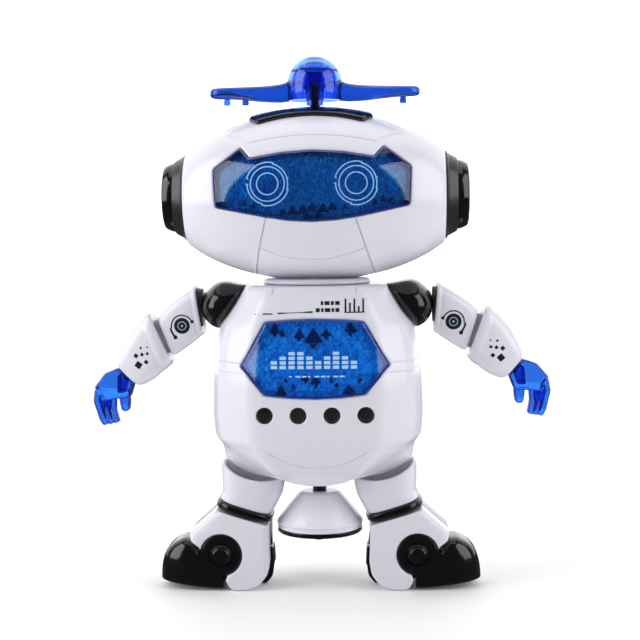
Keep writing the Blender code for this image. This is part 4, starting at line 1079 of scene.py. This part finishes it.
def build_torso_floor():
    """The underside of both hips and the belly block."""
    line = np.vstack([[(38.6, 55.2)], hip_line()])
    line = np.vstack([line, line[::-1][1:] * (-1.0, 1.0)])
    depth = -torso_place(-1.0)(torso_plane(line))[:, 1]
    rows = 28
    width, count = rows + 1, len(line)
    half = count * width
    points = [(x * (1.0 - 0.02 * offset), (deep - 0.3) * (2.0 * k / rows - 1.0), z + offset)
              for offset in (0.0, 1.6) for (x, z), deep in zip(line, depth) for k in range(width)]
    faces = []
    for i in range(count - 1):
        for a in range(i * width, i * width + rows):
            b = a + width
            faces += [(a, a + 1, b + 1, b), (half + a, half + b, half + b + 1, half + a + 1)]
    rim = [(i * width + k, (i + 1) * width + k) for i in range(count - 1) for k in (0, rows)]
    rim += [(i * width + k, i * width + k + 1) for i in (0, count - 1) for k in range(rows)]
    faces += [(a, b, half + b, half + a) for a, b in rim]
    stand_for(outward(add_mesh("torso_underside", points, faces, "white")), "torso", "white_shell")


def build_door(door):
    """The battery lid, with a coin-slot screw that rides on it."""
    outline = torso_plane(grown(door, -0.25))
    well = torso_plane(circle((0.0, LID_SCREW_Z), 2.9, 28))
    features = [edge(closed(outline), 0.7), edge(closed(well), 0.5),
                groove(closed(torso_plane(grown(door, -2.6))), 0.5, 0.2),
                groove(torso_plane([(-3.0, 76.0), (0.0, 73.0), (3.0, 76.0)]), 0.4, 0.3)]
    features += [groove(torso_plane([(-9.0, z), (9.0, z)]), 0.5, 0.5) for z in (67.5, 69.3, 71.1)]
    lid = patch("battery_lid", torso_place(1.0), outline, "white", facing=(0, 1, 0), holes=[well],
                features=features, wall=1.8)
    stand_for(lid, "battery_door", "white_shell", "battery_door")
    y = torso_place(1.0)(torso_plane([(0.1, LID_SCREW_Z)]))[0, 1]
    screw = turned("lid_screw", [(0.0, -2.2), (2.5, -2.2), (2.5, -0.9), (1.9, -0.5), (0.0, -0.45)], 0.2,
                   "steel", along((0, 1, 0), (0, y, LID_SCREW_Z)), 40)
    centre = Matrix.Translation((0, 0, LID_SCREW_Z * MM))
    for angle in (0.0, 90.0):
        slot = rounded(rectangle(-1.5, LID_SCREW_Z - 0.28, 1.5, LID_SCREW_Z + 0.28), 0.1, 0.4)
        slot = slab("slot", slot, y - 1.2, y + 1.0, "steel", 0.05)
        slot.data.transform(centre @ Matrix.Rotation(math.radians(angle), 4, "Y") @ centre.inverted())
        combined(screw, slot, "DIFFERENCE")
    stand_for(screw, "battery_door", "steel", "door_screw")


def build_switch():
    """A ribbed knob on a hidden slide."""
    x, z, y = -3.0, 116.0, 32.6

    def block(name, shift, half_x, half_z, radius, step, low, high, bevel):
        outline = rectangle(x + shift - half_x, z - half_z, x + shift + half_x, z + half_z)
        return slab(name, rounded(outline, radius, step), low, high, "black", bevel)
    knob = block("switch_knob", 0.0, 2.2, 2.1, 0.5, 0.7, 27.0, y + 0.6, 0.4)
    for shift in (-1.2, 0.0, 1.2):
        combined(knob, block("cutter", shift, 0.25, 3, 0.05, 1.0, y + 0.1, y + 2.0, 0.05), "DIFFERENCE")
    combined(knob, block("switch_slide", 0.0, 6.0, 4, 0.5, 1.5, 26.0, 27.4, 0.2))
    stand_for(knob, "power_switch", "black_gloss", "power_switch")


def build_window(chest):
    # The window's rounded rim takes the painted edge shade.
    pane = patch("chest_window_pane", window_place(0.0), chest, "lens", spacing=1.6, wall=1.8,
                 features=[edge(closed(chest), 1.2, 0.7)], rim_shade_look=("lens_rim_shade", rim_shade_mask(chest, 0.85)))
    stand_for(pane, "torso", "clear_blue", "chest_window")
    bars = []
    for i, blocks in enumerate(LEVELS):
        x = -16.0 + 31.6 * i / (len(LEVELS) - 1)
        for k in range(blocks):
            bars.append(rounded(rectangle(x - 1.25, 95.2 + 1.8 * k, x + 1.25, 96.5 + 1.8 * k), 0.2, 0.8))
    for i in range(9):
        x = -10.0 + 2.5 * i
        bars.append(rounded(rectangle(x, 91.9, x + (1.9 if i % 3 else 0.9), 92.5), 0.1, 0.6))
    stand_for(print_on("level_bars", bars, pane, "print_pale", 0.08), "torso", "clear_blue")
    facets = diamond_field("chest_prisms", window_place(3.6), grown(chest, 2.0), 2.6, 3.4, 0.8,
                           ("facets", "facets_low", "facets_high"), 7)
    stand_for(facets, "torso", "reflector", "chest_reflector")
    darts = []
    for x, z, size in (
            (-0.5, 107.6, 3.4), (-6.2, 108.6, 2.0), (4.6, 108.8, 1.8), (0.0, 90.4, 2.0), (-3.6, 91.2, 1.4),
            (-16.0, 110.6, 2.2), (14.6, 110.8, 2.2), (-13.6, 86.4, 2.4), (13.6, 86.4, 2.4), (-8.4, 88.2, 0.9),
            (8.6, 88.6, 0.9), (-11.6, 90.6, 0.7), (6.4, 90.4, 0.8), (-12.8, 109.0, 1.2), (18.0, 90.6, 0.8)):
        darts.append(dart(x, z, size))
        darts.append(np.array([(x - size * 0.5, z - size * 0.8), (x, z - size * 1.5),
                               (x + size * 0.5, z - size * 0.8)]))
    stand_for(print_on("chest_dark_prisms", darts, facets, "facets_dark", 0.6), "torso", "reflector")


def build_ports():
    """Four round grilles; their small holes are painted shade, dark dots printed on the disc."""
    profile = [(0.0, 4.0), (PORT_R, 4.0), (PORT_R, 0.25), (PORT_R - 0.5, 0.15), (PORT_R - 0.8, 0.6),
               (0.0, 0.6)]
    for i, x in enumerate(PORT_XS):
        y = torso_place(-1.0)(torso_plane([(x, PORT_Z)]))[0, 1]
        disc = turned("sound_port_%d" % (i + 1), profile, 0.15, "port", along((0, 1, 0), (x, y, PORT_Z)), 48)
        stand_for(disc, "torso", "dark_plastic", *(["sound_ports"] if i == 0 else []))
        # Painted shade: the holes are not cut; dark dots stand for them.
        holes = [circle((x + ring * math.cos(turn), PORT_Z + ring * math.sin(turn)), 0.24, 10)
                 for ring, count in ((0.0, 1), (0.95, 6), (1.8, 11)) for turn in turns(count)]
        hole_shade_dots = print_on("sound_port_holes_%d" % (i + 1), holes, disc, "print_black", 0.05)
        stand_for(hole_shade_dots, "torso", "dark_plastic")


def build_chest_marks(front):
    """Generic dashes, blocks and a gauge over the window."""
    shapes = [rectangle(-24.0, 116.3, -22.0, 116.7), rectangle(-20.6, 116.4, -16.6, 116.9),
              np.array([(-14.6, 116.6), (-0.6, 117.0), (-0.6, 117.7), (-14.6, 117.2)])]
    for start, z, widths in ((0.6, 117.3, (1.6, 1.0, 2.2, 1.0, 1.6)), (2.6, 120.0, (1.0, 2.0, 1.2, 1.8))):
        for width in widths:
            shapes.append(rectangle(start, z, start + width, z + 1.5))
            start += width + 0.5
    stand_for(print_on("chest_blocks", shapes, front, "print_black", 0.05), "torso", "white_shell")
    scale = [stroke(resample([(x, 117.2), (x, 117.2 + height)], 1.0), 0.7)
             for x, height in zip((12.4, 14.15, 15.9, 17.65, 19.4), (5.2, 3.6, 5.2, 2.2, 5.2))]
    scale.append(stroke(resample([(12.0, 117.1), (20.0, 117.1)], 1.0), 0.45))
    stand_for(print_on("chest_scale", scale, front, "print_black", 0.05), "torso", "white_shell")


def build_shoulder(side, word):
    """A glossy dome on the torso's corner, with a pointed tail running up and in."""
    # x, top, bottom, half depth
    at = smooth_rows([
        (27.6, 127.4, 126.4, 8.0), (30.0, 127.7, 123.6, 12.6), (33.0, 128.1, 118.0, 15.4),
        (36.6, 128.7, 111.4, 17.0), (39.0, 128.9, 109.6, 17.4), (41.4, 128.4, 109.0, 17.0),
        (44.2, 126.6, 110.2, 15.0), (46.2, 124.6, 112.2, 12.4), (47.2, 123.0, 114.0, 10.0),
        (47.7, 120.9, 116.6, 7.0)])
    rings = []
    for x in np.concatenate([np.linspace(27.6, 46.2, 40), np.linspace(46.4, 47.7, 9)]):
        top, bottom, deep = at(np.array([x]))[0]
        middle, half = (top + bottom) / 2.0, (top - bottom) / 2.0
        rings.append([(side * x, deep * curved(math.cos(turn), 0.9),
                       middle + half * curved(math.sin(turn), 0.9)) for turn in turns(64)])
    dome = loft(word + "_shoulder_dome", rings, "black")
    stand_for(dome, "torso", "black_gloss", word + "_shoulder")


# ---------------------------------------------------------------- arms


def arm_point(side, point):
    offset = Vector(point) - Vector(ARM_PIVOT)
    placed = Matrix.Rotation(ARM_DROOP[side], 2) @ offset + Vector(ARM_PIVOT)
    return side * placed.x, placed.y


def oval(upper, lower, half_depth, power, count=64):
    """A squared-off ring through two (x, z) points."""
    centre = (Vector(upper) + Vector(lower)) / 2.0
    half = (Vector(upper) - Vector(lower)) / 2.0
    ring = []
    for turn in turns(count):
        rise, out = curved(math.cos(turn), 2.0 / power), curved(math.sin(turn), 2.0 / power)
        ring.append((centre.x + half.x * rise, half_depth * out, centre.y + half.y * rise))
    return ring


def arm_loft(name, side, rows, power):
    """Rows along the arm are the upper x and z, the lower x and z, half depth, and shrink."""
    rings = []
    for *ends, half_depth, shrink in rows:
        ends = Vector(ends[:2]), Vector(ends[2:])
        middle = (ends[0] + ends[1]) / 2.0
        reach = (ends[0] - middle).length
        top, bottom = (arm_point(side, middle + (end - middle) * ((reach - shrink) / reach)) for end in ends)
        rings.append(oval(top, bottom, max(half_depth - shrink, 0.3), power))
    return loft(name, rings, "white", smooth=34.0)


def between(rows, steps):
    """More rows between the given ones, straight in between."""
    rows = np.array(rows)
    return [a + (b - a) * k / steps for a, b in zip(rows, rows[1:]) for k in range(steps)] + [rows[-1]]


def arm_axis(side, centre, tilt):
    x, z = arm_point(side, centre)
    ahead_x, ahead_z = arm_point(side, Vector(centre) + Vector((math.cos(tilt), math.sin(tilt))))
    return along((ahead_x - x, 0.0, ahead_z - z), (x, 0.0, z))


def build_arm(side, word):
    """Two hollow sleeves with thick lips, the discs they turn on, and the hand."""
    upper = arm_loft(word + "_upper_arm_shell", side, UPPER_MOUTH + between(UPPER_SLEEVE, 3) + UPPER_END, 3.8)
    stand_for(upper, word + "_upper_arm", "white_shell", word + "_upper_arm")
    disc = turned(word + "_shoulder_hub", [(0.0, 47.8), (7.4, 47.8), (7.4, 51.2), (0.0, 51.2)], 0.5, "dark",
                  along((side, 0, 0), (0, 0, ARM_PIVOT[1])), 48)
    stand_for(disc, word + "_upper_arm", "dark_plastic", word + "_shoulder_disc")
    elbow = turned(word + "_elbow_hub", [
        (0.0, -3.0), (6.9, -3.0), (6.9, -0.6), (7.4, -0.5), (7.4, 1.4), (6.9, 1.5), (6.9, 3.6), (0.0, 3.6)],
        0.2, "grey", arm_axis(side, ELBOW, ELBOW_TILT), 64)
    stand_for(elbow, word + "_forearm", "dark_plastic", word + "_elbow_disc")
    forearm = arm_loft(word + "_forearm_shell", side, LOWER_MOUTH + between(LOWER_SLEEVE, 3) + LOWER_END, 3.2)
    stand_for(forearm, word + "_forearm", "white_shell", word + "_forearm")
    build_arm_marks(side, word, upper, forearm)
    build_hand(side, word)


def build_arm_marks(side, word, upper, forearm):
    """A round badge on the upper arm and loose squares on the forearm."""
    def put(shape):
        return np.array([arm_point(side, p) for p in shape])
    centre = (56.2, 111.4)
    dark = [circle(centre, 3.3, 36), stroke(circle(centre, 4.4, 24, -8.0, 168.0), 0.55),
            stroke(arc3((61.0, 110.9), (60.7, 109.2), (59.5, 107.2), 8), 0.8),
            circle((59.3, 106.8), 0.85, 14), rectangle(51.2, 112.3, 52.5, 113.5)]
    pale = [circle(centre, 0.42, 16)]
    pale += [stroke(circle(centre, 1.7, 16, a, a + 91.0), 0.26) for a in (0.0, 90.0, 180.0, 270.0)]
    lean = Matrix.Rotation(math.radians(40.0), 2)
    squares = []
    for x, z, size in ((75.6, 96.3, 2.6), (72.2, 97.4, 1.5), (76.3, 100.2, 1.6), (73.7, 100.6, 1.3),
                       (71.4, 100.9, 1.1), (74.0, 103.4, 0.9), (71.2, 103.6, 0.6)):
        half = size / 2.0
        corners = [lean @ Vector(c) for c in rectangle(-half, -half, half, half)]
        squares.append([(x + c.x, z + c.y) for c in corners])
    for name, shapes, target, body, look, lift in (
            ("_arm_badge", dark, upper, "_upper_arm", "print_black", 0.06),
            ("_arm_badge_rings", pale, upper, "_upper_arm", "print_pale", 0.12),
            ("_arm_squares", squares, forearm, "_forearm", "print_black", 0.06)):
        printed = print_on(word + name, [put(shape) for shape in shapes], target, look, lift, 0.8)
        stand_for(printed, word + body, "white_shell")


def build_hand(side, word):
    """A curled claw: a hollow palm, three fanned fingers and a thumb."""
    def part(name, shape, radius, low, high, bevel):
        outline = rounded([arm_point(side, p) for p in shape], radius, 0.8)
        return slab(name, outline, low, high, "blue", bevel)
    outline = [(85.4, 95.2), (90.8, 93.3), (95.6, 87.8), (93.4, 81.6), (86.0, 82.3), (81.7, 82.2),
               (79.2, 88.8)]
    palm = part(word + "_claw", outline, [1.3, 2.4, 1.4, 1.6, 1.6, 1.4, 1.3], -5.5, 5.5, 1.1)
    hollow = [(83.4, 92.2), (85.6, 92.4), (86.4, 84.6), (83.0, 84.6), (81.2, 88.9)]
    combined(palm, part("hollow", hollow, 0.9, -4.0, 4.0, 0.7), "DIFFERENCE")
    finger = [(93.2, 88.0), (95.6, 86.6), (96.4, 82.0), (94.5, 74.2), (93.0, 71.3), (90.6, 72.3),
              (91.6, 78.0), (91.2, 84.0)]
    for low, high, shift in ((-5.6, -2.2, 0.0), (-1.9, 1.7, -1.7), (2.0, 5.4, -3.2)):
        shape = [(x + shift, z + 0.15 * shift) for x, z in finger]
        combined(palm, part("finger", shape, [1.2, 1.2, 4.0, 3.0, 1.2, 1.2, 4.0, 1.2], low, high, 0.9))
    thumb = [(81.3, 86.2), (86.2, 86.2), (85.8, 80.0), (85.2, 76.6), (82.2, 76.6), (81.6, 80.0)]
    combined(palm, part("thumb", thumb, [1.2, 1.2, 4.0, 1.6, 1.6, 4.0], -3.2, 1.8, 1.1))
    mesh = palm.data
    mesh.materials.clear()
    for look in ("blue", "edge_blue_shade"):
        mesh.materials.append(LOOKS[look])
    # Painted shade: faces that don't face front or back get the darker navy, standing in for the dark edges
    # of the clear hand.
    for face in mesh.polygons:
        face.material_index = int(abs(face.normal.y) < 0.94)
    stand_for(palm, word + "_hand", "clear_blue", word + "_hand")
    peg = turned(word + "_wrist_plug", [(0.0, -3.0), (3.0, -3.0), (3.0, 1.2), (0.0, 1.2)], 0.4, "deep_blue",
                 arm_axis(side, WRIST, WRIST_TILT), 40)
    stand_for(peg, word + "_hand", "clear_blue")


# ---------------------------------------------------------------- legs


def knee_ring(side, distance, shrink, count=72):
    """A ring across the leg at a distance up from the knee."""
    along_leg = Vector((-math.sin(KNEE_TILT), math.cos(KNEE_TILT)))
    across = Vector((math.cos(KNEE_TILT), math.sin(KNEE_TILT))) * (KNEE_HALF[0] - shrink)
    centre = Vector(KNEE) + along_leg * distance
    outer, inner = centre + across, centre - across
    return oval((side * outer.x, outer.y), (side * inner.x, inner.y), KNEE_HALF[1] - shrink, 3.0, count)


def build_knee(side, word):
    half = [(0.22, 0.12), (0.35, 0.0), (0.75, 0.0), (1.2, 0.2), (1.6, 0.7), (1.75, 1.3), (1.75, 2.0)]
    rows = [(-d, shrink) for d, shrink in half[::-1]] + [(-0.15, 0.5), (0.15, 0.5)] + half
    band = loft(word + "_knee_band", [knee_ring(side, d, shrink) for d, shrink in rows], "black")
    stand_for(band, word + "_leg", "black_gloss", word + "_knee_ring")


def past_hip(side, point):
    """How far a point is outside the round that the thigh's rim follows."""
    return math.hypot(side * point[0] - THIGH_RIM[0], point[2] - THIGH_RIM[1]) - THIGH_RIM[2]


def build_thigh(side, word):
    """A cup on the knee whose upper rim follows the round of the hip."""
    count, rows = 96, 22
    levels = [knee_ring(side, 2.05, 0.7, count)]
    for outer_x, outer_z, inner_x, inner_z, deep in (
            (40.5, 41.0, 15.8, 39.0, 13.8), (40.7, 46.0, 14.9, 43.0, 14.1),
            (40.8, 53.0, 14.1, 49.0, 14.3), (40.9, 61.0, 13.4, 57.0, 14.4)):
        levels.append(oval((side * outer_x, outer_z), (side * inner_x, inner_z), deep, 3.0, count))
    columns = []
    for line in np.array(levels).transpose(1, 0, 2):
        route = [line[0]]
        for start, end in zip(line, line[1:]):
            if past_hip(side, end) > 0.0:
                route.append(end)
                continue
            low, high = 0.0, 1.0
            for _ in range(30):
                middle = (low + high) / 2.0
                outside = past_hip(side, start + (end - start) * middle) > 0.0
                low, high = (middle, high) if outside else (low, middle)
            route.append(start + (end - start) * low)
            break
        columns.append(resample_count(np.array(route), rows))
    rings = np.array(columns).transpose(1, 0, 2)

    def inward(ring, distance, drop):
        away = (ring - (side * 27.0, 0.0, 0.0)) * (1.0, 1.0, 0.0)
        away /= np.maximum(np.linalg.norm(away, axis=1, keepdims=True), 1e-9)
        return ring - away * distance - (0.0, 0.0, drop)
    shape = [inward(rings[0], distance, drop) for distance, drop in ((1.2, 0.25), (0.5, 0.2), (0.12, -0.05))]
    shape += [*rings[1:]]
    shape += [inward(rings[-1], distance, drop)
              for distance, drop in ((0.12, -0.15), (0.6, -0.3), (1.2, -0.2), (1.6, 0.25), (1.7, 1.6))]
    shape += [inward(rings[8], 1.8, 0.0), inward(rings[3], 2.2, 0.0)]
    cup = loft(word + "_thigh_cup", shape, "white", smooth=40.0)
    stand_for(cup, word + "_leg", "white_shell", word + "_thigh")
    arm = rounded([(side * x, z) for x, z in (
        (16.6, 41.0), (23.0, 40.0), (25.0, 66.0), (26.0, 70.0), (24.8, 73.0), (22.0, 74.0), (19.2, 73.0),
        (18.0, 70.0))], 0.8, 1.2)
    stand_for(slab(word + "_hip_bracket", arm, -3.9, 3.9, "white_back", 0.5), word + "_leg", "white_shell")


def resample_count(line, count):
    """A line as `count` evenly spaced points."""
    steps = np.concatenate([[0.0], np.cumsum(np.linalg.norm(np.diff(line, axis=0), axis=1))])
    wanted = np.linspace(0.0, steps[-1], count)
    return np.stack([np.interp(wanted, steps, line[:, k]) for k in range(3)], 1)


def build_boot(side, word):
    """Two white shells over a thin black core, cut round for the shoe's boss."""
    slope = [(20.9, 27.0), (43.0, 33.7), (54.1, 23.9), (53.2, 20.9), (49.7, 18.2)]
    cut = [tuple(p) for p in circle(BOSS, BOOT_CUT_R, 40, 14.0, 252.0)]
    heel = [(39.0, 4.4), (37.4, 1.3), (35.4, 0.25), (30.1, 0.25), (25.2, 2.2), (21.6, 6.7), (20.7, 11.9),
            (21.0, 19.0)]
    radii = [1.2, 1.2, 1.2, 0.6, 0.8] + [0] * len(cut) + [0.8, 1.6, 2.5, 4.0, 5.0, 5.0, 4.0, 3.0]
    outline = rounded(slope + cut + heel, radii, 0.9) * (side, 1.0)
    facet = resample([(side * 43.2, 34.4), (side * 55.4, 23.6)], 1.0)
    heel_edge = resample([(side * 20.6, 3.0), (side * 20.6, 30.0)], 1.0)
    for name, sign in (("front", -1.0), ("rear", 1.0)):
        def place(plane, sign=sign):
            x, z = plane.T
            bow = 0.0009 * (side * x - 34.0) ** 2 + 0.0006 * (z - 16.0) ** 2
            return np.stack([x, sign * (BOOT_FACE - 0.1 - bow), z], 1)

        def back(plane, sign=sign):
            return np.stack([plane[:, 0], np.full(len(plane), sign * 1.3), plane[:, 1]], 1)
        shell = patch("%s_boot_%s" % (word, name), place, outline, "white", facing=(0, sign, 0), back=back,
                      features=[edge(closed(outline), 0.9, 0.55), edge(facet, 5.0, 2.4),
                                edge(heel_edge, 3.4, 1.8)], spacing=1.5)
        stand_for(shell, word + "_boot", "white_shell", "%s_boot_%s_shell" % (word, name))


def build_shoe(side, word):
    """Glossy toe, the round boss with its steps, and the thin core between the boot shells."""
    tops = smooth_rows([
        (39.0, 13.0), (46.0, 15.2), (50.0, 17.6), (53.6, 20.6), (56.4, 21.0), (60.4, 19.5), (63.0, 17.7),
        (64.6, 15.8), (65.9, 13.0), (66.8, 9.8), (67.35, 5.8), (67.45, 3.0)])
    plan = smooth_rows([
        (36.0, 12.4), (46.0, 13.6), (54.0, 13.4), (60.0, 11.8), (63.4, 9.6), (65.6, 6.8), (66.8, 4.0),
        (67.35, 1.6)])
    rings = []
    for x in np.concatenate([np.linspace(40.0, 53.0, 14), np.linspace(53.4, 64.0, 26),
                             np.linspace(64.4, 67.35, 16)]):
        high, wide = (at(np.array([x]))[0, 0] for at in (tops, plan))
        low = 2.8 * max(0.0, (x - 42.0) / 25.4) ** 1.5 + 0.05
        ring = []
        for turn in turns(64):
            up = math.sin(turn)
            z = low + (high - low) * (0.5 + 0.5 * curved(up, 0.62 if up > 0 else 0.35))
            taper = 1.0 - 0.16 * max(0.0, (z - low) / max(high - low, 0.1)) ** 2
            ring.append((side * x, wide * curved(math.cos(turn), 0.42) * taper, z))
        rings.append(ring)
    toe = loft(word + "_toe_cap", rings, "black", smooth=50.0)
    stand_for(toe, word + "_boot", "black_gloss", word + "_shoe")
    steps = [(0.0, 0.5), (8.8, 0.5), (8.8, 12.3), (7.9, 13.0), (5.1, 13.1), (4.9, 12.7), (4.4, 12.7),
             (4.2, 13.3), (3.7, 13.8), (3.5, 14.9), (2.9, 15.4), (0.0, 15.7)]
    for sign, face in ((-1, "front"), (1, "rear")):
        place = along((0, sign, 0), (side * BOSS[0], 0, BOSS[1]))
        boss = turned("%s_boss_%s" % (word, face), steps, 0.4, "black", place)
        stand_for(boss, word + "_boot", "black_gloss")
    core = [(21.4, 26.6), (42.6, 33.0), (52.6, 23.6), (48.0, 15.0), (38.2, 0.0), (29.0, 0.0), (22.9, 0.2),
            (20.3, 3.4), (19.5, 9.0), (20.3, 18.0)]
    lug = [(19.2, 9.0), (22.0, 8.4), (22.0, 17.6), (19.6, 16.6)]
    for name, shape, radius, step, half, bevel in (
            ("_boot_core", core, [1, 1, 1, 1, 1, 1, 2, 4, 5, 4], 1.0, 1.05, 0.3),
            ("_heel_lug", lug, 1.0, 0.8, 6.0, 1.2)):
        outline = rounded([(side * x, z) for x, z in shape], radius, step)
        piece = slab(word + name, outline, -half, half, "black", bevel)
        stand_for(piece, word + "_boot", "black_gloss")


# ---------------------------------------------------------------- drive base


def build_drive_base():
    cone = turned("drive_cone_shell", [
        (3.15, 39.8), (7.4, 39.8), (9.0, 38.9), (12.8, 34.2), (17.2, 28.5), (17.5, 27.95), (18.05, 27.7),
        (18.1, 26.9), (17.7, 26.6), (17.65, 24.7), (15.9, 24.7), (15.9, 27.0), (8.0, 37.6), (3.15, 37.6)],
        0.35, "cone")
    stand_for(cone, "drive_base", "white_shell", "drive_cone")
    plate = turned("drive_base_ring", [
        (13.4, 22.7), (17.1, 22.7), (17.6, 23.1), (17.6, 24.4), (17.4, 24.6), (15.5, 24.6), (15.5, 25.3),
        (13.4, 25.3)], 0.2, "black")
    stand_for(plate, "drive_base", "black_gloss")


# ---------------------------------------------------------------- scene


def dress_cad_nodes(frame):
    """Materials for the CAD nodes that stay in view or sit inside."""
    for look, names in (
            ("black", "base_plate drive_shaft"), ("dark", "speaker"), ("white_back", "battery_box"),
            ("steel", "wheel_axle drive_motor left_hip_pin right_hip_pin"),
            ("rubber", "left_drive_wheel right_drive_wheel"), ("cell", "battery_1 battery_2 battery_3"),
            ("board", "main_board chest_led_board face_led_board")):
        for name in names.split():
            mesh = frame["nodes"][name].data
            for i in range(len(mesh.materials)):
                mesh.materials[i] = LOOKS[look]


def area_light(name, place, size, power):
    lamp = bpy.data.lights.new(name, "AREA")
    lamp.shape = "RECTANGLE"
    lamp.size, lamp.size_y = size
    lamp.energy = power
    item = bpy.data.objects.new(name, lamp)
    item.location = place
    item.rotation_euler = (Vector((0.0, 0.0, 0.12)) - Vector(place)).to_track_quat("-Z", "Y").to_euler()
    bpy.context.scene.collection.objects.link(item)


def studio_surface(name, color, glow):
    return principled(name, color, 0.6, Specular_IOR_Level=0.25, Emission_Color=(1.0, 1.0, 1.0, 1.0),
                      Emission_Strength=glow)


def stage_strip(name, route, look):
    """A wide strip along a (y, z) route in metres."""
    points = [(x, y, z) for y, z in route for x in (-2.5, 2.5)]
    mesh = bpy.data.meshes.new(name)
    mesh.from_pydata(points, [], [(0, 1, 3, 2)])
    mesh.materials.append(look)
    mesh.shade_smooth()
    strip = bpy.data.objects.new(name, mesh)
    bpy.context.scene.collection.objects.link(strip)
    return strip


def build_stage():
    floor = stage_strip("studio_floor", [(-2.2, 0.0), (0.9, 0.0)],
                        studio_surface("floor_paper", (0.90, 0.89, 0.885), 0.05))
    floor.visible_glossy = False
    stage_strip("studio_backdrop", [(0.9, 0.0), (0.9, 2.4)],
                studio_surface("backdrop_paper", (0.9, 0.9, 0.9), 0.95))


def build_lights():
    world = bpy.data.worlds.new("studio")
    world.use_nodes = True
    sky = world.node_tree.nodes["Background"]
    sky.inputs["Color"].default_value = (0.97, 0.98, 1.0, 1.0)
    sky.inputs["Strength"].default_value = 0.08
    bpy.context.scene.world = world
    area_light("softbox_left", (-0.71, -0.26, 0.44), (0.62, 0.86), 6.3)
    area_light("softbox_right", (0.70, -0.28, 0.42), (0.60, 0.84), 4.7)
    area_light("softbox_top", (0.0, 0.05, 0.85), (0.8, 0.5), 1.7)
    bpy.context.scene.view_settings.view_transform = "Standard"


def build_camera():
    data = bpy.data.cameras.new("camera")
    data.lens, data.sensor_width = 80.9, 36.0
    data.clip_start = 0.01
    camera = bpy.data.objects.new("camera", data)
    place, target = Vector((0.0251, -0.5995, 0.157)), Vector((0.001, 0.0, 0.1118))
    look = (target - place).to_track_quat("-Z", "Y").to_matrix().to_4x4()
    camera.matrix_world = Matrix.Translation(place) @ look @ Matrix.Rotation(math.radians(-0.7), 4, "Z")
    bpy.context.scene.collection.objects.link(camera)
    bpy.context.scene.camera = camera


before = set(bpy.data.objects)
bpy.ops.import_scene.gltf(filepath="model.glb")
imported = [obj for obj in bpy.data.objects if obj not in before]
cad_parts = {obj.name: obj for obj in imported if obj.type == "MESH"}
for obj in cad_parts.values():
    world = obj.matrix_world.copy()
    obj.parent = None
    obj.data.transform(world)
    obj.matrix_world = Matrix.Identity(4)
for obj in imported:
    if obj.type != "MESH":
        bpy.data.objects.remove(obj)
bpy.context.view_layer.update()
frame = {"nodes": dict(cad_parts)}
LOOKS = make_materials()
build_camera()
build_lights()
build_stage()
build_head()
build_rotor()
build_torso()
for side, word in SIDES:
    build_arm(side, word)
    build_thigh(side, word)
    build_knee(side, word)
    build_boot(side, word)
    build_shoe(side, word)
build_drive_base()
dress_cad_nodes(frame)

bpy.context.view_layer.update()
